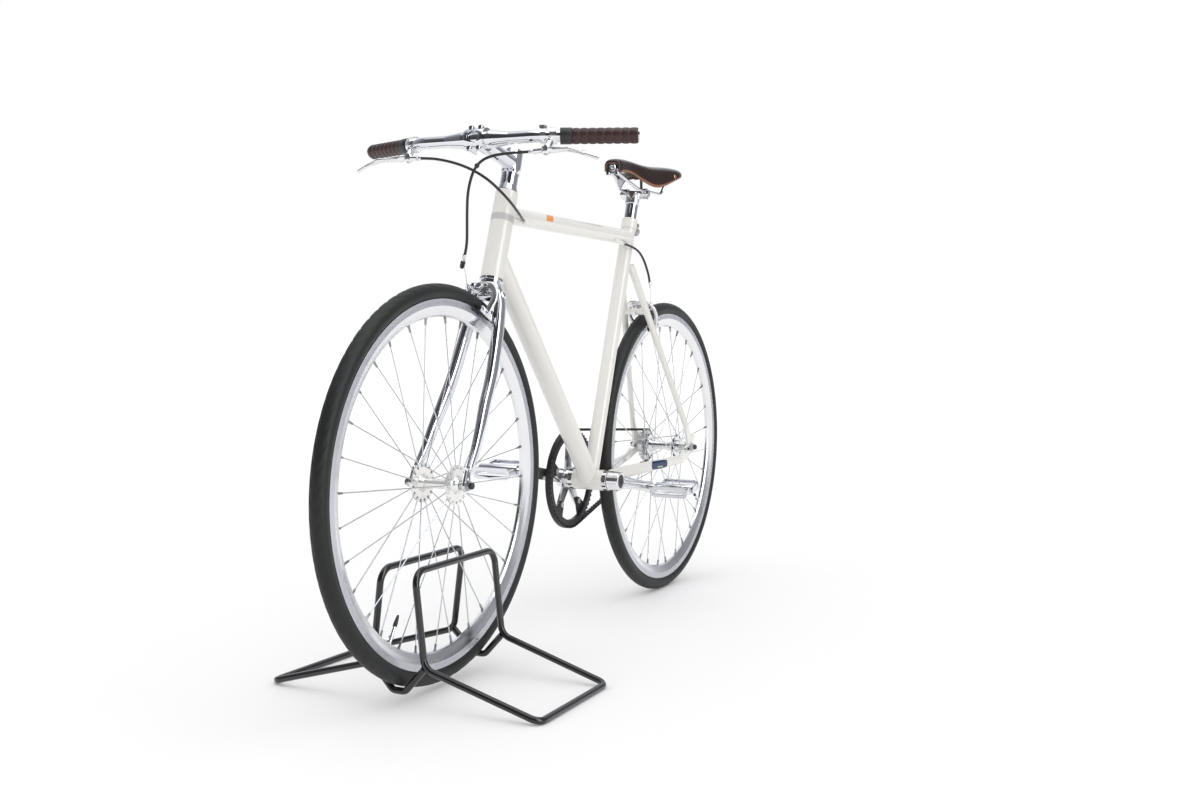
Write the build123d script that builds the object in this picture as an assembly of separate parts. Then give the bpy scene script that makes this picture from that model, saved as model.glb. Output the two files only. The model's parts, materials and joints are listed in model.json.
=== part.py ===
"""City bicycle with a belt drive, held upright by a bent-rod stand at its front wheel.

Millimetres. The origin is on the floor, midway between the two axles. The bicycle faces -Y,
its left side is +X and +Z is up.
"""
from build123d import *
import os
from math import acos, atan2, cos, pi, radians, sin, sqrt, tan

# ---------------------------------------------------------------- driving dimensions
WHEEL_R = 338.0            # outside of the tyre
TYRE_R = 14.5              # radius of the tyre's section
RIM_R = 312.5              # rim's outer edge
RIM_INNER_R = 282.5
RIM_HALF = 11.0            # half the rim's width at the brake track
HALF_BASE = 487.25         # half the wheelbase
LIFT = 9.0                 # the stand carries the front wheel this far off the floor

BB = Vector(0, 93.8, 296.4)               # centre of the bottom bracket
SEAT_ANGLE = 71.4
HEAD_ANGLE = 71.5
HEAD_MID = Vector(0, -289.5, 779.5)    # middle of the head tube, on the steering axis
HEAD_LENGTH = 170.0
SEAT_TUBE_LENGTH = 587.5

HEAD_R = 21.0
TOP_R = 16.5
DOWN_R = 20.0
SEAT_R = 15.5
SHELL_R = 21.5
SHELL_HALF = 34.0
CUP_R = 17.0               # bore of the shell, where the bearing cups sit
STEERER_R = 14.3
POST_R = 13.6
RUN_GAP = 0.05             # radial clearance of every turning fit
BRAKE_BOLT_R = 3.0

FRONT_DROPOUT = 50.0       # inner faces of the fork ends, from the middle
REAR_DROPOUT = 65.0
FRONT_AXLE_R = 4.75
REAR_AXLE_R = 5.0
FLANGE_R = 34.0

BELT_PITCH = 11.0
RING_TEETH = 60
SPROCKET_TEETH = 22
BELT_X = -46.0             # middle plane of the belt
BELT_WIDTH = 10.0
TOOTH_DEPTH = 3.4
BAND = 2.0                 # thickness of the belt's back
BELT_GAP = 0.4             # from the tooth tips to the belt's back

CRANK_LENGTH = 170.0
CRANK_DROP = 10.0          # degrees that the left crank points below the rearward horizontal
SPINDLE_R = 12.0
PEDAL_PIN_R = 5.0
CRANK_FACE = 71.0          # outer face of each crank arm, from the middle
CUP_FACE = 44.5            # outer face of each bearing cup
BOLT_WELL_R = 12.5         # recess in each arm's face, round its bolt

BAR_CENTRE = Vector(0, -365.6, 939.7)
BAR_R = 11.1
BAR_CLAMP_R = 15.9
BAR_HALF = 275.0
STEM_AT = 140.8            # along the steering axis, from the middle of the head tube

ROD_R = 5.75               # the stand's bent rod

FRONT_AXLE = Vector(0, -HALF_BASE, WHEEL_R + LIFT)
REAR_AXLE = Vector(0, HALF_BASE, WHEEL_R)
HEAD_U = Vector(0, cos(radians(HEAD_ANGLE)), sin(radians(HEAD_ANGLE)))
SEAT_U = Vector(0, cos(radians(SEAT_ANGLE)), sin(radians(SEAT_ANGLE)))
X = Vector(1, 0, 0)
MIN = (Align.CENTER, Align.CENTER, Align.MIN)

os.makedirs("parts", exist_ok=True)
PARTS = {}


# ---------------------------------------------------------------- shared shapes
def at(x, y, z):
    return Vector(x, y, z)


def flip(v):
    """The same point on the other side of the bicycle."""
    return Vector(-v.X, v.Y, v.Z)


def on_head(s, x=0.0):
    """A point of the steering axis, s above the head tube's middle."""
    return HEAD_MID + HEAD_U * s + X * x


def on_seat(s, x=0.0):
    """A point of the seat tube's axis, s above the bottom bracket."""
    return BB + SEAT_U * s + X * x


def rod(p, q, r):
    d = q - p
    return Plane(origin=p, z_dir=d) * Cylinder(r, d.length, align=MIN)


def taper(p, q, r0, r1):
    d = q - p
    return Plane(origin=p, z_dir=d) * Cone(r0, r1, d.length, align=MIN)


def tube(stations):
    """An oval tube through (centre, wide, tall) stations: wide is across the bicycle."""
    sections = []
    last = len(stations) - 1
    for i, (centre, wide, tall) in enumerate(stations):
        d = (stations[min(i + 1, last)][0] - stations[max(i - 1, 0)][0]).normalized()
        side = (X - d * d.X).normalized()
        sections.append(Plane(origin=centre, x_dir=d.cross(side), z_dir=d) * SlotOverall(tall, wide))
    return loft(sections, ruled=True)


def bent(points, radii, r):
    """A round rod along straight runs joined by tangent arcs."""
    path = FilletPolyline(*points, radius=radii)
    return sweep(Plane(origin=path @ 0, z_dir=path % 0) * Circle(r), path=path)


def spun(profile, centre):
    """A ring or hub: its profile, as (across, radius) points, turned about an axle at centre."""
    return Pos(centre.X, centre.Y, centre.Z) * revolve(make_face(Polyline(*profile, close=True)), Axis.X, 360)


def disc(centre, r, x0, x1):
    """A cylinder across the bicycle, from x0 to x1."""
    return rod(at(x0, centre.Y, centre.Z), at(x1, centre.Y, centre.Z), r)


def plate(sketch, x0, x1):
    """A flat plate whose outline is drawn in (y, z), from x0 to x1."""
    side = Plane(origin=(x0, 0, 0), x_dir=(0, 1, 0), z_dir=(1, 0, 0))
    return extrude(side * sketch, x1 - x0)


def link(c1, r1, c2, r2):
    """Two circles and their common tangents, as an outline in (y, z)."""
    dy, dz = c2.Y - c1.Y, c2.Z - c1.Z
    length = sqrt(dy * dy + dz * dz)
    base = atan2(dz, dy)
    spread = acos((r1 - r2) / length)
    corners = []
    for centre, r, angle in ((c1, r1, base + spread), (c2, r2, base + spread),
                             (c2, r2, base - spread), (c1, r1, base - spread)):
        corners.append((centre.Y + r * cos(angle), centre.Z + r * sin(angle)))
    outline = make_face(Polyline(*corners, close=True))
    return outline + Pos(c1.Y, c1.Z) * Circle(r1) + Pos(c2.Y, c2.Z) * Circle(r2)


def both(shape):
    """A shape and its mirror image on the other side."""
    return shape + mirror(shape, Plane.YZ)


def save(name, shape):
    PARTS[name] = shape
    export_step(shape, f"parts/{name}.step")


def save_pair(name, left):
    """Two mirrored pieces, a node each."""
    save("left_" + name, left)
    save("right_" + name, mirror(left, Plane.YZ))


def save_twins(name, left):
    """Two mirrored pieces that share a node."""
    save(name, Compound(children=[left, mirror(left, Plane.YZ)]))


# ---------------------------------------------------------------- frame
CHAIN_STAY = [(at(26, 105, 300), 13.6, 28), (at(27, 160, 301.5), 13.6, 28), (at(28, 215, 303), 13.6, 27),
              (at(46, 320, 308), 13.2, 23), (at(67, 430, 313), 12, 18.5)]
SEAT_STAY = [(at(12, 262, 752), 14, 18), (at(68, 462, 386), 11.5, 15)]
STAY_DROP = (SEAT_STAY[1][0] - SEAT_STAY[0][0]).normalized()
BRIDGE_DOWN = 115.0                    # along the seat stays, from their top to the brake's bridge
BRIDGE = Vector(0, SEAT_STAY[0][0].Y + STAY_DROP.Y * BRIDGE_DOWN, SEAT_STAY[0][0].Z + STAY_DROP.Z * BRIDGE_DOWN)
TO_REAR_AXLE = (REAR_AXLE - BRIDGE).normalized()
BRAKE_W = Vector(0, -TO_REAR_AXLE.Z, TO_REAR_AXLE.Y)    # rearward, square to the line to the axle
EYELET = at(0, 498, 362)               # threaded hole for a rack's stay, in each dropout
EYELET_R = 2.5
CABLE_STOP_R = 4.6


def build_frame():
    bottom, top = on_head(-HEAD_LENGTH / 2), on_head(HEAD_LENGTH / 2)
    head_solid = rod(bottom, top, HEAD_R)
    head = chamfer(head_solid.edges().sort_by(Axis.Z)[-1], 3)
    bore = rod(on_head(-HEAD_LENGTH / 2 + 12), on_head(HEAD_LENGTH / 2 - 12), STEERER_R + 3.5)
    seats = rod(bottom - HEAD_U * 5, top + HEAD_U * 5, STEERER_R + RUN_GAP)
    save("head_tube", head - bore - seats)

    shell = disc(BB, SHELL_R, -SHELL_HALF, SHELL_HALF)
    save("bottom_bracket_shell", shell - disc(BB, CUP_R, -SHELL_HALF, SHELL_HALF))

    seat_top = on_seat(SEAT_TUBE_LENGTH)
    seat_solid = rod(BB, seat_top, SEAT_R)
    collar = rod(on_seat(SEAT_TUBE_LENGTH - 22), seat_top, SEAT_R + 1.8)
    post_bore = rod(on_seat(SEAT_TUBE_LENGTH - 160), seat_top + SEAT_U, POST_R)
    split = Plane(origin=on_seat(SEAT_TUBE_LENGTH - 16) + at(0, 20, 0), z_dir=SEAT_U) * Box(2, 24, 34)
    save("seat_tube", seat_solid + collar - shell - post_bore - split)

    top_front = on_head((817.5 - HEAD_MID.Z) / HEAD_U.Z)
    top_rear = on_seat((813.5 - BB.Z) / SEAT_U.Z)
    top_solid = rod(top_front, top_rear, TOP_R)
    for root, mouth in ((at(15, -200, 809), at(18, -231, 808.5)), (at(11, 178, 805), at(17.3, 202.6, 797))):
        top_solid += rod(root, mouth, CABLE_STOP_R)      # the rear cable runs inside the tube between its two stops
    save("top_tube", top_solid - head_solid - seat_solid)

    down_top = on_head((739 - HEAD_MID.Z) / HEAD_U.Z)
    down_solid = rod(BB, down_top, DOWN_R)
    save("down_tube", down_solid - head_solid - shell - seat_solid)

    chain_stay = tube(CHAIN_STAY) - shell - seat_solid - down_solid
    save_twins("chain_stays", chain_stay)
    seat_stay = tube(SEAT_STAY) - seat_solid
    save_twins("seat_stays", seat_stay)

    # dropout: a plate that the two stays are welded to, with the axle's slot open at the front
    low, high = CHAIN_STAY[-1][0], SEAT_STAY[-1][0]
    outline = link(REAR_AXLE, 15, low, 9) + link(REAR_AXLE, 15, high, 8) + link(REAR_AXLE, 12, EYELET, 7)
    dropout = plate(outline, REAR_DROPOUT, REAR_DROPOUT + 6)
    slot = plate(link(REAR_AXLE, REAR_AXLE_R, at(0, 452, 332), REAR_AXLE_R), REAR_DROPOUT, REAR_DROPOUT + 6)
    dropout -= slot + disc(EYELET, EYELET_R, REAR_DROPOUT, REAR_DROPOUT + 6)
    save_twins("dropouts", dropout - chain_stay - seat_stay)

    # bridge across the seat stays, where the rear brake bolts on
    half = SEAT_STAY[0][0].X + STAY_DROP.X * BRIDGE_DOWN
    bridge = disc(BRIDGE, 7, -half, half) - both(seat_stay)
    save("brake_bridge", bridge - rod(BRIDGE - BRAKE_W * 20, BRIDGE + BRAKE_W * 20, BRAKE_BOLT_R))


# ---------------------------------------------------------------- wheels
SPOKES = 32
CROSSING = radians(67.5)               # round the hub, from where a crossed spoke meets the rim


def rim_profile():
    half = [(RIM_HALF, RIM_R), (RIM_HALF - 0.4, RIM_R - 12), (8.2, RIM_R - 20), (5.2, RIM_INNER_R + 2.5),
            (2.5, RIM_INNER_R)]
    return half + [(-x, r) for x, r in reversed(half)]


def build_wheel(name, centre, hub, flange_r, flange_x, crossed, phase):
    """A wheel with its spokes either crossed, or straight out from the inner faces of its flanges.
    The phase turns the lacing, in steps from one spoke to the next."""
    tyre = Pos(centre.X, centre.Y, centre.Z) * revolve(
        Pos(0, WHEEL_R - TYRE_R) * Circle(TYRE_R) - Pos(0, RIM_R / 2) * Rectangle(100, RIM_R), Axis.X, 360)
    save(name + "_tyre", tyre)
    save(name + "_rim", spun(rim_profile(), centre))
    save(name + "_hub", hub)
    spokes = []
    for i in range(SPOKES):
        side = 1 if i % 2 else -1
        rim_angle = 2 * pi * (i + phase) / SPOKES
        if crossed:
            lean = 1 if i % 4 in (1, 2) else -1
            hole, start_x, start_r = rim_angle + lean * CROSSING, flange_x + lean * 2, flange_r + 1.1
        else:
            hole, start_x, start_r = rim_angle, flange_x - 2.7, flange_r - 4.5
        inner = at(side * start_x, centre.Y + start_r * cos(hole), centre.Z + start_r * sin(hole))
        outer_r = RIM_INNER_R - 0.2
        outer = at(side * 1.2, centre.Y + outer_r * cos(rim_angle), centre.Z + outer_r * sin(rim_angle))
        spokes.append(rod(inner, outer, 1.0))
    save(name + "_spokes", Compound(children=spokes))


def front_hub():
    f, r = 34.0, FLANGE_R
    half = [(43, FRONT_AXLE_R + RUN_GAP), (43, 11), (f + 6, 14), (f + 1.6, 16), (f + 1.6, r), (f - 1.6, r),
            (f - 1.6, 16), (f - 8, 10), (12, 8.5)]
    profile = half + [(-x, q) for x, q in reversed(half)]
    return spun(profile, FRONT_AXLE)


def rear_hub():
    f, r = 34.0, 25.0
    left = [(58, REAR_AXLE_R + RUN_GAP), (58, 11), (44, 13), (f + 1.6, 15), (f + 1.6, r), (f - 1.6, r),
            (f - 1.6, 15), (f - 8, 11), (12, 9.5)]
    right = [(-12, 9.5), (-f + 8, 11), (-f + 1.6, 15), (-f + 1.6, r), (-f - 1.6, r), (-f - 1.6, 18), (-38, 18),
             (-38, REAR_AXLE_R + RUN_GAP)]
    return spun(left + right, REAR_AXLE)


def hex_nut(x0, x1, centre, across):
    """A six-sided nut on an axle."""
    return plate(Pos(centre.Y, centre.Z) * RegularPolygon(across / 2, 6, major_radius=False), x0, x1)


def build_axles():
    inner = FRONT_DROPOUT
    axle = disc(FRONT_AXLE, FRONT_AXLE_R, -64, 64)
    for side in (-1, 1):
        axle += disc(FRONT_AXLE, 8, side * 43.6, side * inner)
        axle += disc(FRONT_AXLE, 9.5, side * (inner + 5), side * (inner + 6.5))
        axle += hex_nut(min(side * 56.5, side * 62), max(side * 56.5, side * 62), FRONT_AXLE, 15)
    save("front_axle", axle)
    inner = REAR_DROPOUT
    axle = disc(REAR_AXLE, REAR_AXLE_R, -82, 82)
    for side in (-1, 1):
        axle += disc(REAR_AXLE, 8.5, side * 58.6, side * inner)
        axle += disc(REAR_AXLE, 10.5, side * (inner + 6), side * (inner + 7.5))
        axle += hex_nut(min(side * 72.5, side * 79), max(side * 72.5, side * 79), REAR_AXLE, 15)
    save("rear_axle", axle)


# ---------------------------------------------------------------- belt drive
def pulley(teeth, centre, tip_r, x0, x1):
    """A disc with a square groove between each pair of teeth."""
    groove = Pos(tip_r, 0) * Rectangle(2 * TOOTH_DEPTH, 6.2)
    grooves = Sketch() + [Rot(0, 0, 360 * i / teeth) * groove for i in range(teeth)]
    return plate(Pos(centre.Y, centre.Z) * (Circle(tip_r) - grooves), x0, x1)


def tip_radius(teeth):
    return teeth * BELT_PITCH / (2 * pi) - 1.8


def build_drive():
    ring_tip, cog_tip = tip_radius(RING_TEETH), tip_radius(SPROCKET_TEETH)
    x0, x1 = BELT_X - BELT_WIDTH / 2, BELT_X + BELT_WIDTH / 2

    # ring: its toothed rim has five tabs inside, and the crank's five arms bolt on behind them
    ring = pulley(RING_TEETH, BB, ring_tip, x0 + 0.5, x1 - 0.5) - disc(BB, 88, -80, -30)
    spots = [(cos(radians(72 * i + 18)), sin(radians(72 * i + 18))) for i in range(5)]
    holes = [at(0, BB.Y + 65 * c, BB.Z + 65 * s) for c, s in spots]
    for (c, s), hole in zip(spots, holes):
        edge = at(0, BB.Y + 87 * c, BB.Z + 87 * s)
        ring += plate(link(edge, 17, hole, 9), x0 + 0.5, x0 + 4.5) & disc(BB, 92, -80, -30)
        ring -= disc(hole, 4, -80, -30)
    save("belt_ring", ring)

    drop = radians(CRANK_DROP)
    left_tip = BB + at(0, cos(drop), -sin(drop)) * CRANK_LENGTH
    right_tip = BB + at(0, -cos(drop), sin(drop)) * CRANK_LENGTH
    right = plate(link(BB, 12, right_tip, 12), -CRANK_FACE, -CRANK_FACE + 13)
    right += disc(BB, 20, -CRANK_FACE, -CUP_FACE - 0.5)
    right += disc(BB, SPINDLE_R, -CUP_FACE - 0.5, CUP_FACE + 0.5) + pedal_pin(-1, right_tip)
    for hole in holes:
        right += plate(link(BB, 15, hole, 9), x0 - 4, x0 + 0.5) - disc(hole, 4, x0 - 4, x0 + 0.5)
    save("right_crank", right - disc(BB, BOLT_WELL_R, -CRANK_FACE, -CRANK_FACE + 6))
    left = plate(link(BB, 12, left_tip, 12), CRANK_FACE - 13, CRANK_FACE) + disc(BB, 20, CUP_FACE + 0.5, CRANK_FACE)
    left += pedal_pin(1, left_tip)
    save("left_crank", left - disc(BB, BOLT_WELL_R, CRANK_FACE - 6, CRANK_FACE))
    bolts = [disc(hole, 4, x0 - 4, x0 + 4.5) + disc(hole, 6, x0 + 4.5, x0 + 6) for hole in holes]
    save("ring_bolts", Compound(children=bolts))

    cups = []
    for side in (-1, 1):
        cup = disc(BB, SHELL_R - 0.5, side * SHELL_HALF, side * CUP_FACE)
        cup += disc(BB, CUP_R, side * 20, side * SHELL_HALF)
        for i in range(12):
            a = 2 * pi * i / 12
            notch = at(0, BB.Y + SHELL_R * cos(a), BB.Z + SHELL_R * sin(a))
            cup -= disc(notch, 2.2, side * (SHELL_HALF + 1.5), side * (CUP_FACE - 1.5))
        cups.append(cup - disc(BB, SPINDLE_R + RUN_GAP, side * 10, side * 50))
    save("bottom_bracket_cups", Compound(children=cups))

    # sprocket, and the freewheel body that carries it
    cog = pulley(SPROCKET_TEETH, REAR_AXLE, cog_tip, x0 + 0.5, x1 - 0.5) + disc(REAR_AXLE, 18, -57.6, -39)
    save("rear_sprocket", cog - disc(REAR_AXLE, REAR_AXLE_R + RUN_GAP, -60, -38))

    # belt: a band just outside the tooth tips, with its own teeth along the free runs
    r1, r2 = ring_tip + BELT_GAP, cog_tip + BELT_GAP
    band = plate(link(BB, r1 + BAND, REAR_AXLE, r2 + BAND), x0, x1) - plate(link(BB, r1, REAR_AXLE, r2), x0, x1)
    dy, dz = REAR_AXLE.Y - BB.Y, REAR_AXLE.Z - BB.Z
    base, spread = atan2(dz, dy), acos((r1 - r2) / sqrt(dy * dy + dz * dz))
    for sign in (1, -1):
        n = Vector(0, cos(base + sign * spread), sin(base + sign * spread))
        start, end = BB + n * r1, REAR_AXLE + n * r2
        u = (end - start).normalized()
        count = int(((end - start).length - 50) // BELT_PITCH)
        for i in range(count + 1):
            foot = start + u * (30 + i * BELT_PITCH) + X * BELT_X
            tooth = Plane(origin=foot - n * (TOOTH_DEPTH / 2 - 0.25), x_dir=X, z_dir=n)
            band += tooth * Box(BELT_WIDTH, 5.4, TOOTH_DEPTH + 0.5)
    save("belt", band)
    return left_tip, right_tip


def pedal_pin(side, tip):
    near, far = side * (CRANK_FACE + 8), side * (CRANK_FACE + 96)
    return disc(tip, 7, side * CRANK_FACE, near) + disc(tip, PEDAL_PIN_R, near, far) + disc(tip, 8, far, far + side * 2)


def build_pedal(side, tip):
    """A cage pedal: a barrel on the spindle, two end plates and two slotted side plates."""
    name = "left" if side > 0 else "right"
    lo, hi = CRANK_FACE + 9, CRANK_FACE + 95
    body = disc(tip, 11, side * lo, side * hi)
    pitch = radians(8)
    along = Vector(0, cos(pitch), sin(pitch))
    for x in (lo + 4, hi - 4):
        body += Plane(origin=tip + X * (side * x), x_dir=along, z_dir=X) * Box(66, 10, 4)
    body -= disc(tip, PEDAL_PIN_R + RUN_GAP, side * (lo - 5), side * (hi + 5))
    for way in (-1, 1):
        middle = tip + along * (way * 34.5) + X * (side * (lo + hi) / 2)
        outline = RectangleRounded(hi - lo, 24, 11) - RectangleRounded(hi - lo - 16, 9, 4)
        body += extrude(Plane(origin=middle - along * 1.5, x_dir=X, z_dir=along) * outline, 3)
    save(name + "_pedal", body)


# ---------------------------------------------------------------- fork, stem and bar
CROWN = on_head(-117)
TO_FRONT_AXLE = (FRONT_AXLE - CROWN).normalized()
FRONT_W = Vector(0, TO_FRONT_AXLE.Z, -TO_FRONT_AXLE.Y)      # forward, square to the line to the axle


BLADE = [(on_head(-120, 24), 18.6, 25), (on_head(-155, 29.2), 18.6, 25), (at(33.5, -355, 590), 19.4, 25),
         (at(39, -383, 525), 19.4, 25), (at(42.5, -410, 477.6), 19, 24.5), (at(47, -433, 438), 17.2, 22),
         (at(49.8, -454, 402), 14.8, 18.5), (at(52.5, -479, 370), 12.4, 14)]


def build_fork():
    base = -HEAD_LENGTH / 2
    steerer = rod(on_head(base - 5), on_head(STEM_AT + 21), STEERER_R)
    crown = taper(on_head(-115), on_head(base - 5), 17.5, 19.5)
    race = rod(on_head(base - 5), on_head(base - 0.5), HEAD_R + 1)
    shoulder = on_head(-118, 24)
    block = rod(flip(shoulder), shoulder, 10.5) + crown + race + steerer
    block += both(Pos(shoulder.X, shoulder.Y, shoulder.Z) * Sphere(10.5))
    block -= rod(CROWN - FRONT_W * 40, CROWN + FRONT_W * 40, BRAKE_BOLT_R)
    save("fork_crown", block)
    tip = plate(link(FRONT_AXLE, 11, FRONT_AXLE + at(0, 6, 21), 8), FRONT_DROPOUT, FRONT_DROPOUT + 5)
    blade = tube(BLADE) - block + tip
    save_twins("fork_blades", blade - disc(FRONT_AXLE, FRONT_AXLE_R, 40, 60))


def build_cockpit():
    base = HEAD_LENGTH / 2
    cover = taper(on_head(base + 0.5), on_head(base + 11), 18.5, 16.5)
    stack = rod(on_head(base + 11), on_head(STEM_AT - 21), 16)
    save("headset_spacers", cover + stack - rod(on_head(base), on_head(STEM_AT), STEERER_R))

    clamp = rod(on_head(STEM_AT - 21), on_head(STEM_AT + 21), 17.5)
    arm = taper(on_head(STEM_AT), BAR_CENTRE, 15.5, 14)
    cradle = disc(BAR_CENTRE, 20.5, -19, 19)
    u = (BAR_CENTRE - on_head(STEM_AT)).normalized()
    face = Plane(origin=BAR_CENTRE, x_dir=X, z_dir=u)
    for x in (-9.5, 9.5):
        for v in (-18.5, 18.5):
            cradle += face * Pos(x, v, 0) * Cylinder(5, 22)
    front_half = face * Pos(0, 0, 50.5) * Box(80, 80, 100)
    bar_bore = disc(BAR_CENTRE, BAR_CLAMP_R, -60, 60)
    stem = (clamp + arm + cradle - front_half) - bar_bore - rod(on_head(40), on_head(200), STEERER_R)
    save("stem", stem + rod(on_head(STEM_AT + 21), on_head(STEM_AT + 25), 16))
    window = rod(BAR_CENTRE, BAR_CENTRE + u * 40, 11.3)
    save("stem_faceplate", (cradle & front_half) - bar_bore - window)

    c = BAR_CENTRE
    knee, bend, end = c + at(28, 0, 0), c + at(114, 0, 0), c + at(BAR_HALF, 72.3, 2.7)
    bar = disc(c, BAR_CLAMP_R, -28, 28)
    half_bar = taper(knee, c + at(64, 0, 0), BAR_CLAMP_R, BAR_R)
    half_bar += bent([c + at(64, 0, 0), bend, end], [40], BAR_R)
    save("handlebar", bar + both(half_bar))
    return bend, end


def build_grips(bend, end):
    """Each leather grip runs from a black collar to the chrome plug in the bar's end."""
    u = (end - bend).normalized()
    start = bend + u * 63
    bar = rod(bend, end, BAR_R)
    save_twins("grip_collars", rod(start - u * 20, start, 14.3) - bar)
    save_pair("grip", rod(start, end, 13.4) - bar)
    save_twins("bar_plugs", rod(end, end + u * 2.5, 11.8))


LEVER_PIVOT = at(139.6, -374.2, 913.8)
LEVER_BARREL = at(-22, -3, -1.5)       # from a lever's pivot to where its cable leaves


def build_levers(bend, end):
    u = (end - bend).normalized()
    centre = bend + u * 31
    bar = rod(bend, end, BAR_R)
    mount = rod(centre - u * 6, centre + u * 6, 15) + rod(centre + at(0, -10, -10), LEVER_PIVOT, 6.5)
    mount += rod(LEVER_PIVOT + at(0, 0, -6), LEVER_PIVOT + at(0, 0, 6), 8)
    mount += rod(LEVER_PIVOT, LEVER_PIVOT + LEVER_BARREL, 4.5)
    mount -= bar
    root, middle, tip = LEVER_PIVOT + at(-4, 2, 1), at(192, -390, 910), at(242.9, -380.9, 895.3)
    blade = tube([(root, 7, 10), (LEVER_PIVOT + at(14, -5, -1), 6.5, 12), (middle, 6, 11),
                  (middle * 0.4 + tip * 0.6 + at(0, -2, 1), 6, 10.5), (tip, 6.5, 9)])
    save_twins("brake_lever_mounts", mount)
    save_twins("brake_levers", blade - mount)


def build_band(bend, end):
    """An empty band for a small accessory, round the bar beside the left lever."""
    u = (end - bend).normalized()
    c = bend + u * 13.5
    ring = rod(c - u * 4.5, c + u * 4.5, 14) - rod(bend, end, BAR_R)
    save("accessory_band", ring + Plane(origin=c + at(0, 0, 16), x_dir=X, z_dir=(0, 0, 1)) * Box(9, 12, 5))


def build_caliper(name, origin, inward, outward, adjuster, behind):
    """A dual-pivot rim brake: two arms, one in front of the other, reach round the tyre to the pads."""
    def place(x, v, w):
        return origin + X * x + inward * v + outward * w
    face = Plane(origin=origin, x_dir=X, z_dir=outward)
    down = 1 if face.y_dir.dot(inward) > 0 else -1
    hand = 1 if adjuster.X > 0 else -1

    def arm(side, w0):
        spots = [(-side * 13, -2, 8), (0, 0, 11), (side * 24, -1, 8.5), (side * 34, 22, 6.5), (side * 25, 51, 6)]
        outline = Sketch()
        for (x, v, r), (x2, v2, r2) in zip(spots, spots[1:]):
            outline += link(at(0, x, v * down), r, at(0, x2, v2 * down), r2)
        return extrude(face.offset(w0) * outline, 7)
    body = arm(hand, 21.6) + arm(-hand, 29)
    body += rod(place(hand * 28, 4, 25), adjuster, 3.8)
    body += rod(place(0, 0, -behind), place(0, 0, 37), BRAKE_BOLT_R) + rod(place(0, 0, 36), place(0, 0, 39.5), 6)
    body += rod(place(0, 0, -behind - 4), place(0, 0, -behind), 5.5)
    body += rod(place(hand * 13, -2, 36), place(hand * 13, -2, 38.5), 4.5)
    save(name + "_brake_caliper", body)
    pads = [Plane(origin=place(side * 20, 50, 29), x_dir=X, z_dir=outward) * Box(8, 9, 42) - body for side in (-1, 1)]
    save(name + "_brake_pads", Compound(children=pads))


# ---------------------------------------------------------------- saddle
SADDLE = [(186, 17, 953, 973), (196, 20, 948, 977), (226, 21.5, 951, 979), (252, 24, 948, 979), (275, 31, 938, 977),
          (298, 39, 930, 976), (322, 46.5, 925, 976), (346, 55, 930, 977.5), (370, 63, 941, 979.5),
          (398, 69.5, 954.5, 982), (426, 61.5, 964, 982.5), (441, 46, 970.5, 980)]
LEATHER = 4.5
RAIL = [at(7, 197, 948), at(9, 222, 941), at(22, 276, 919.5), at(24, 397, 919.5), at(33, 416, 960)]


def saddle_section(y, w, low, top):
    """The saddle's outline across the bicycle: upright skirts under a rounded top."""
    r = min(w, top - low) * 0.75
    shoulders = (w - r, w - r * (1 - sqrt(0.5)), w)
    heights = (top, top - r * (1 - sqrt(0.5)), top - r)
    left = [(x, z - low) for x, z in zip(shoulders, heights)]
    right = [(-x, z) for x, z in left]
    edges = [Line(right[0], left[0]), ThreePointArc(*left), Line(left[2], (w, 0)), Line((w, 0), (-w, 0)),
             Line((-w, 0), right[2]), ThreePointArc(*right)]
    return Plane(origin=(0, y, low), x_dir=(1, 0, 0), z_dir=(0, -1, 0)) * make_face(edges)


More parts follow.
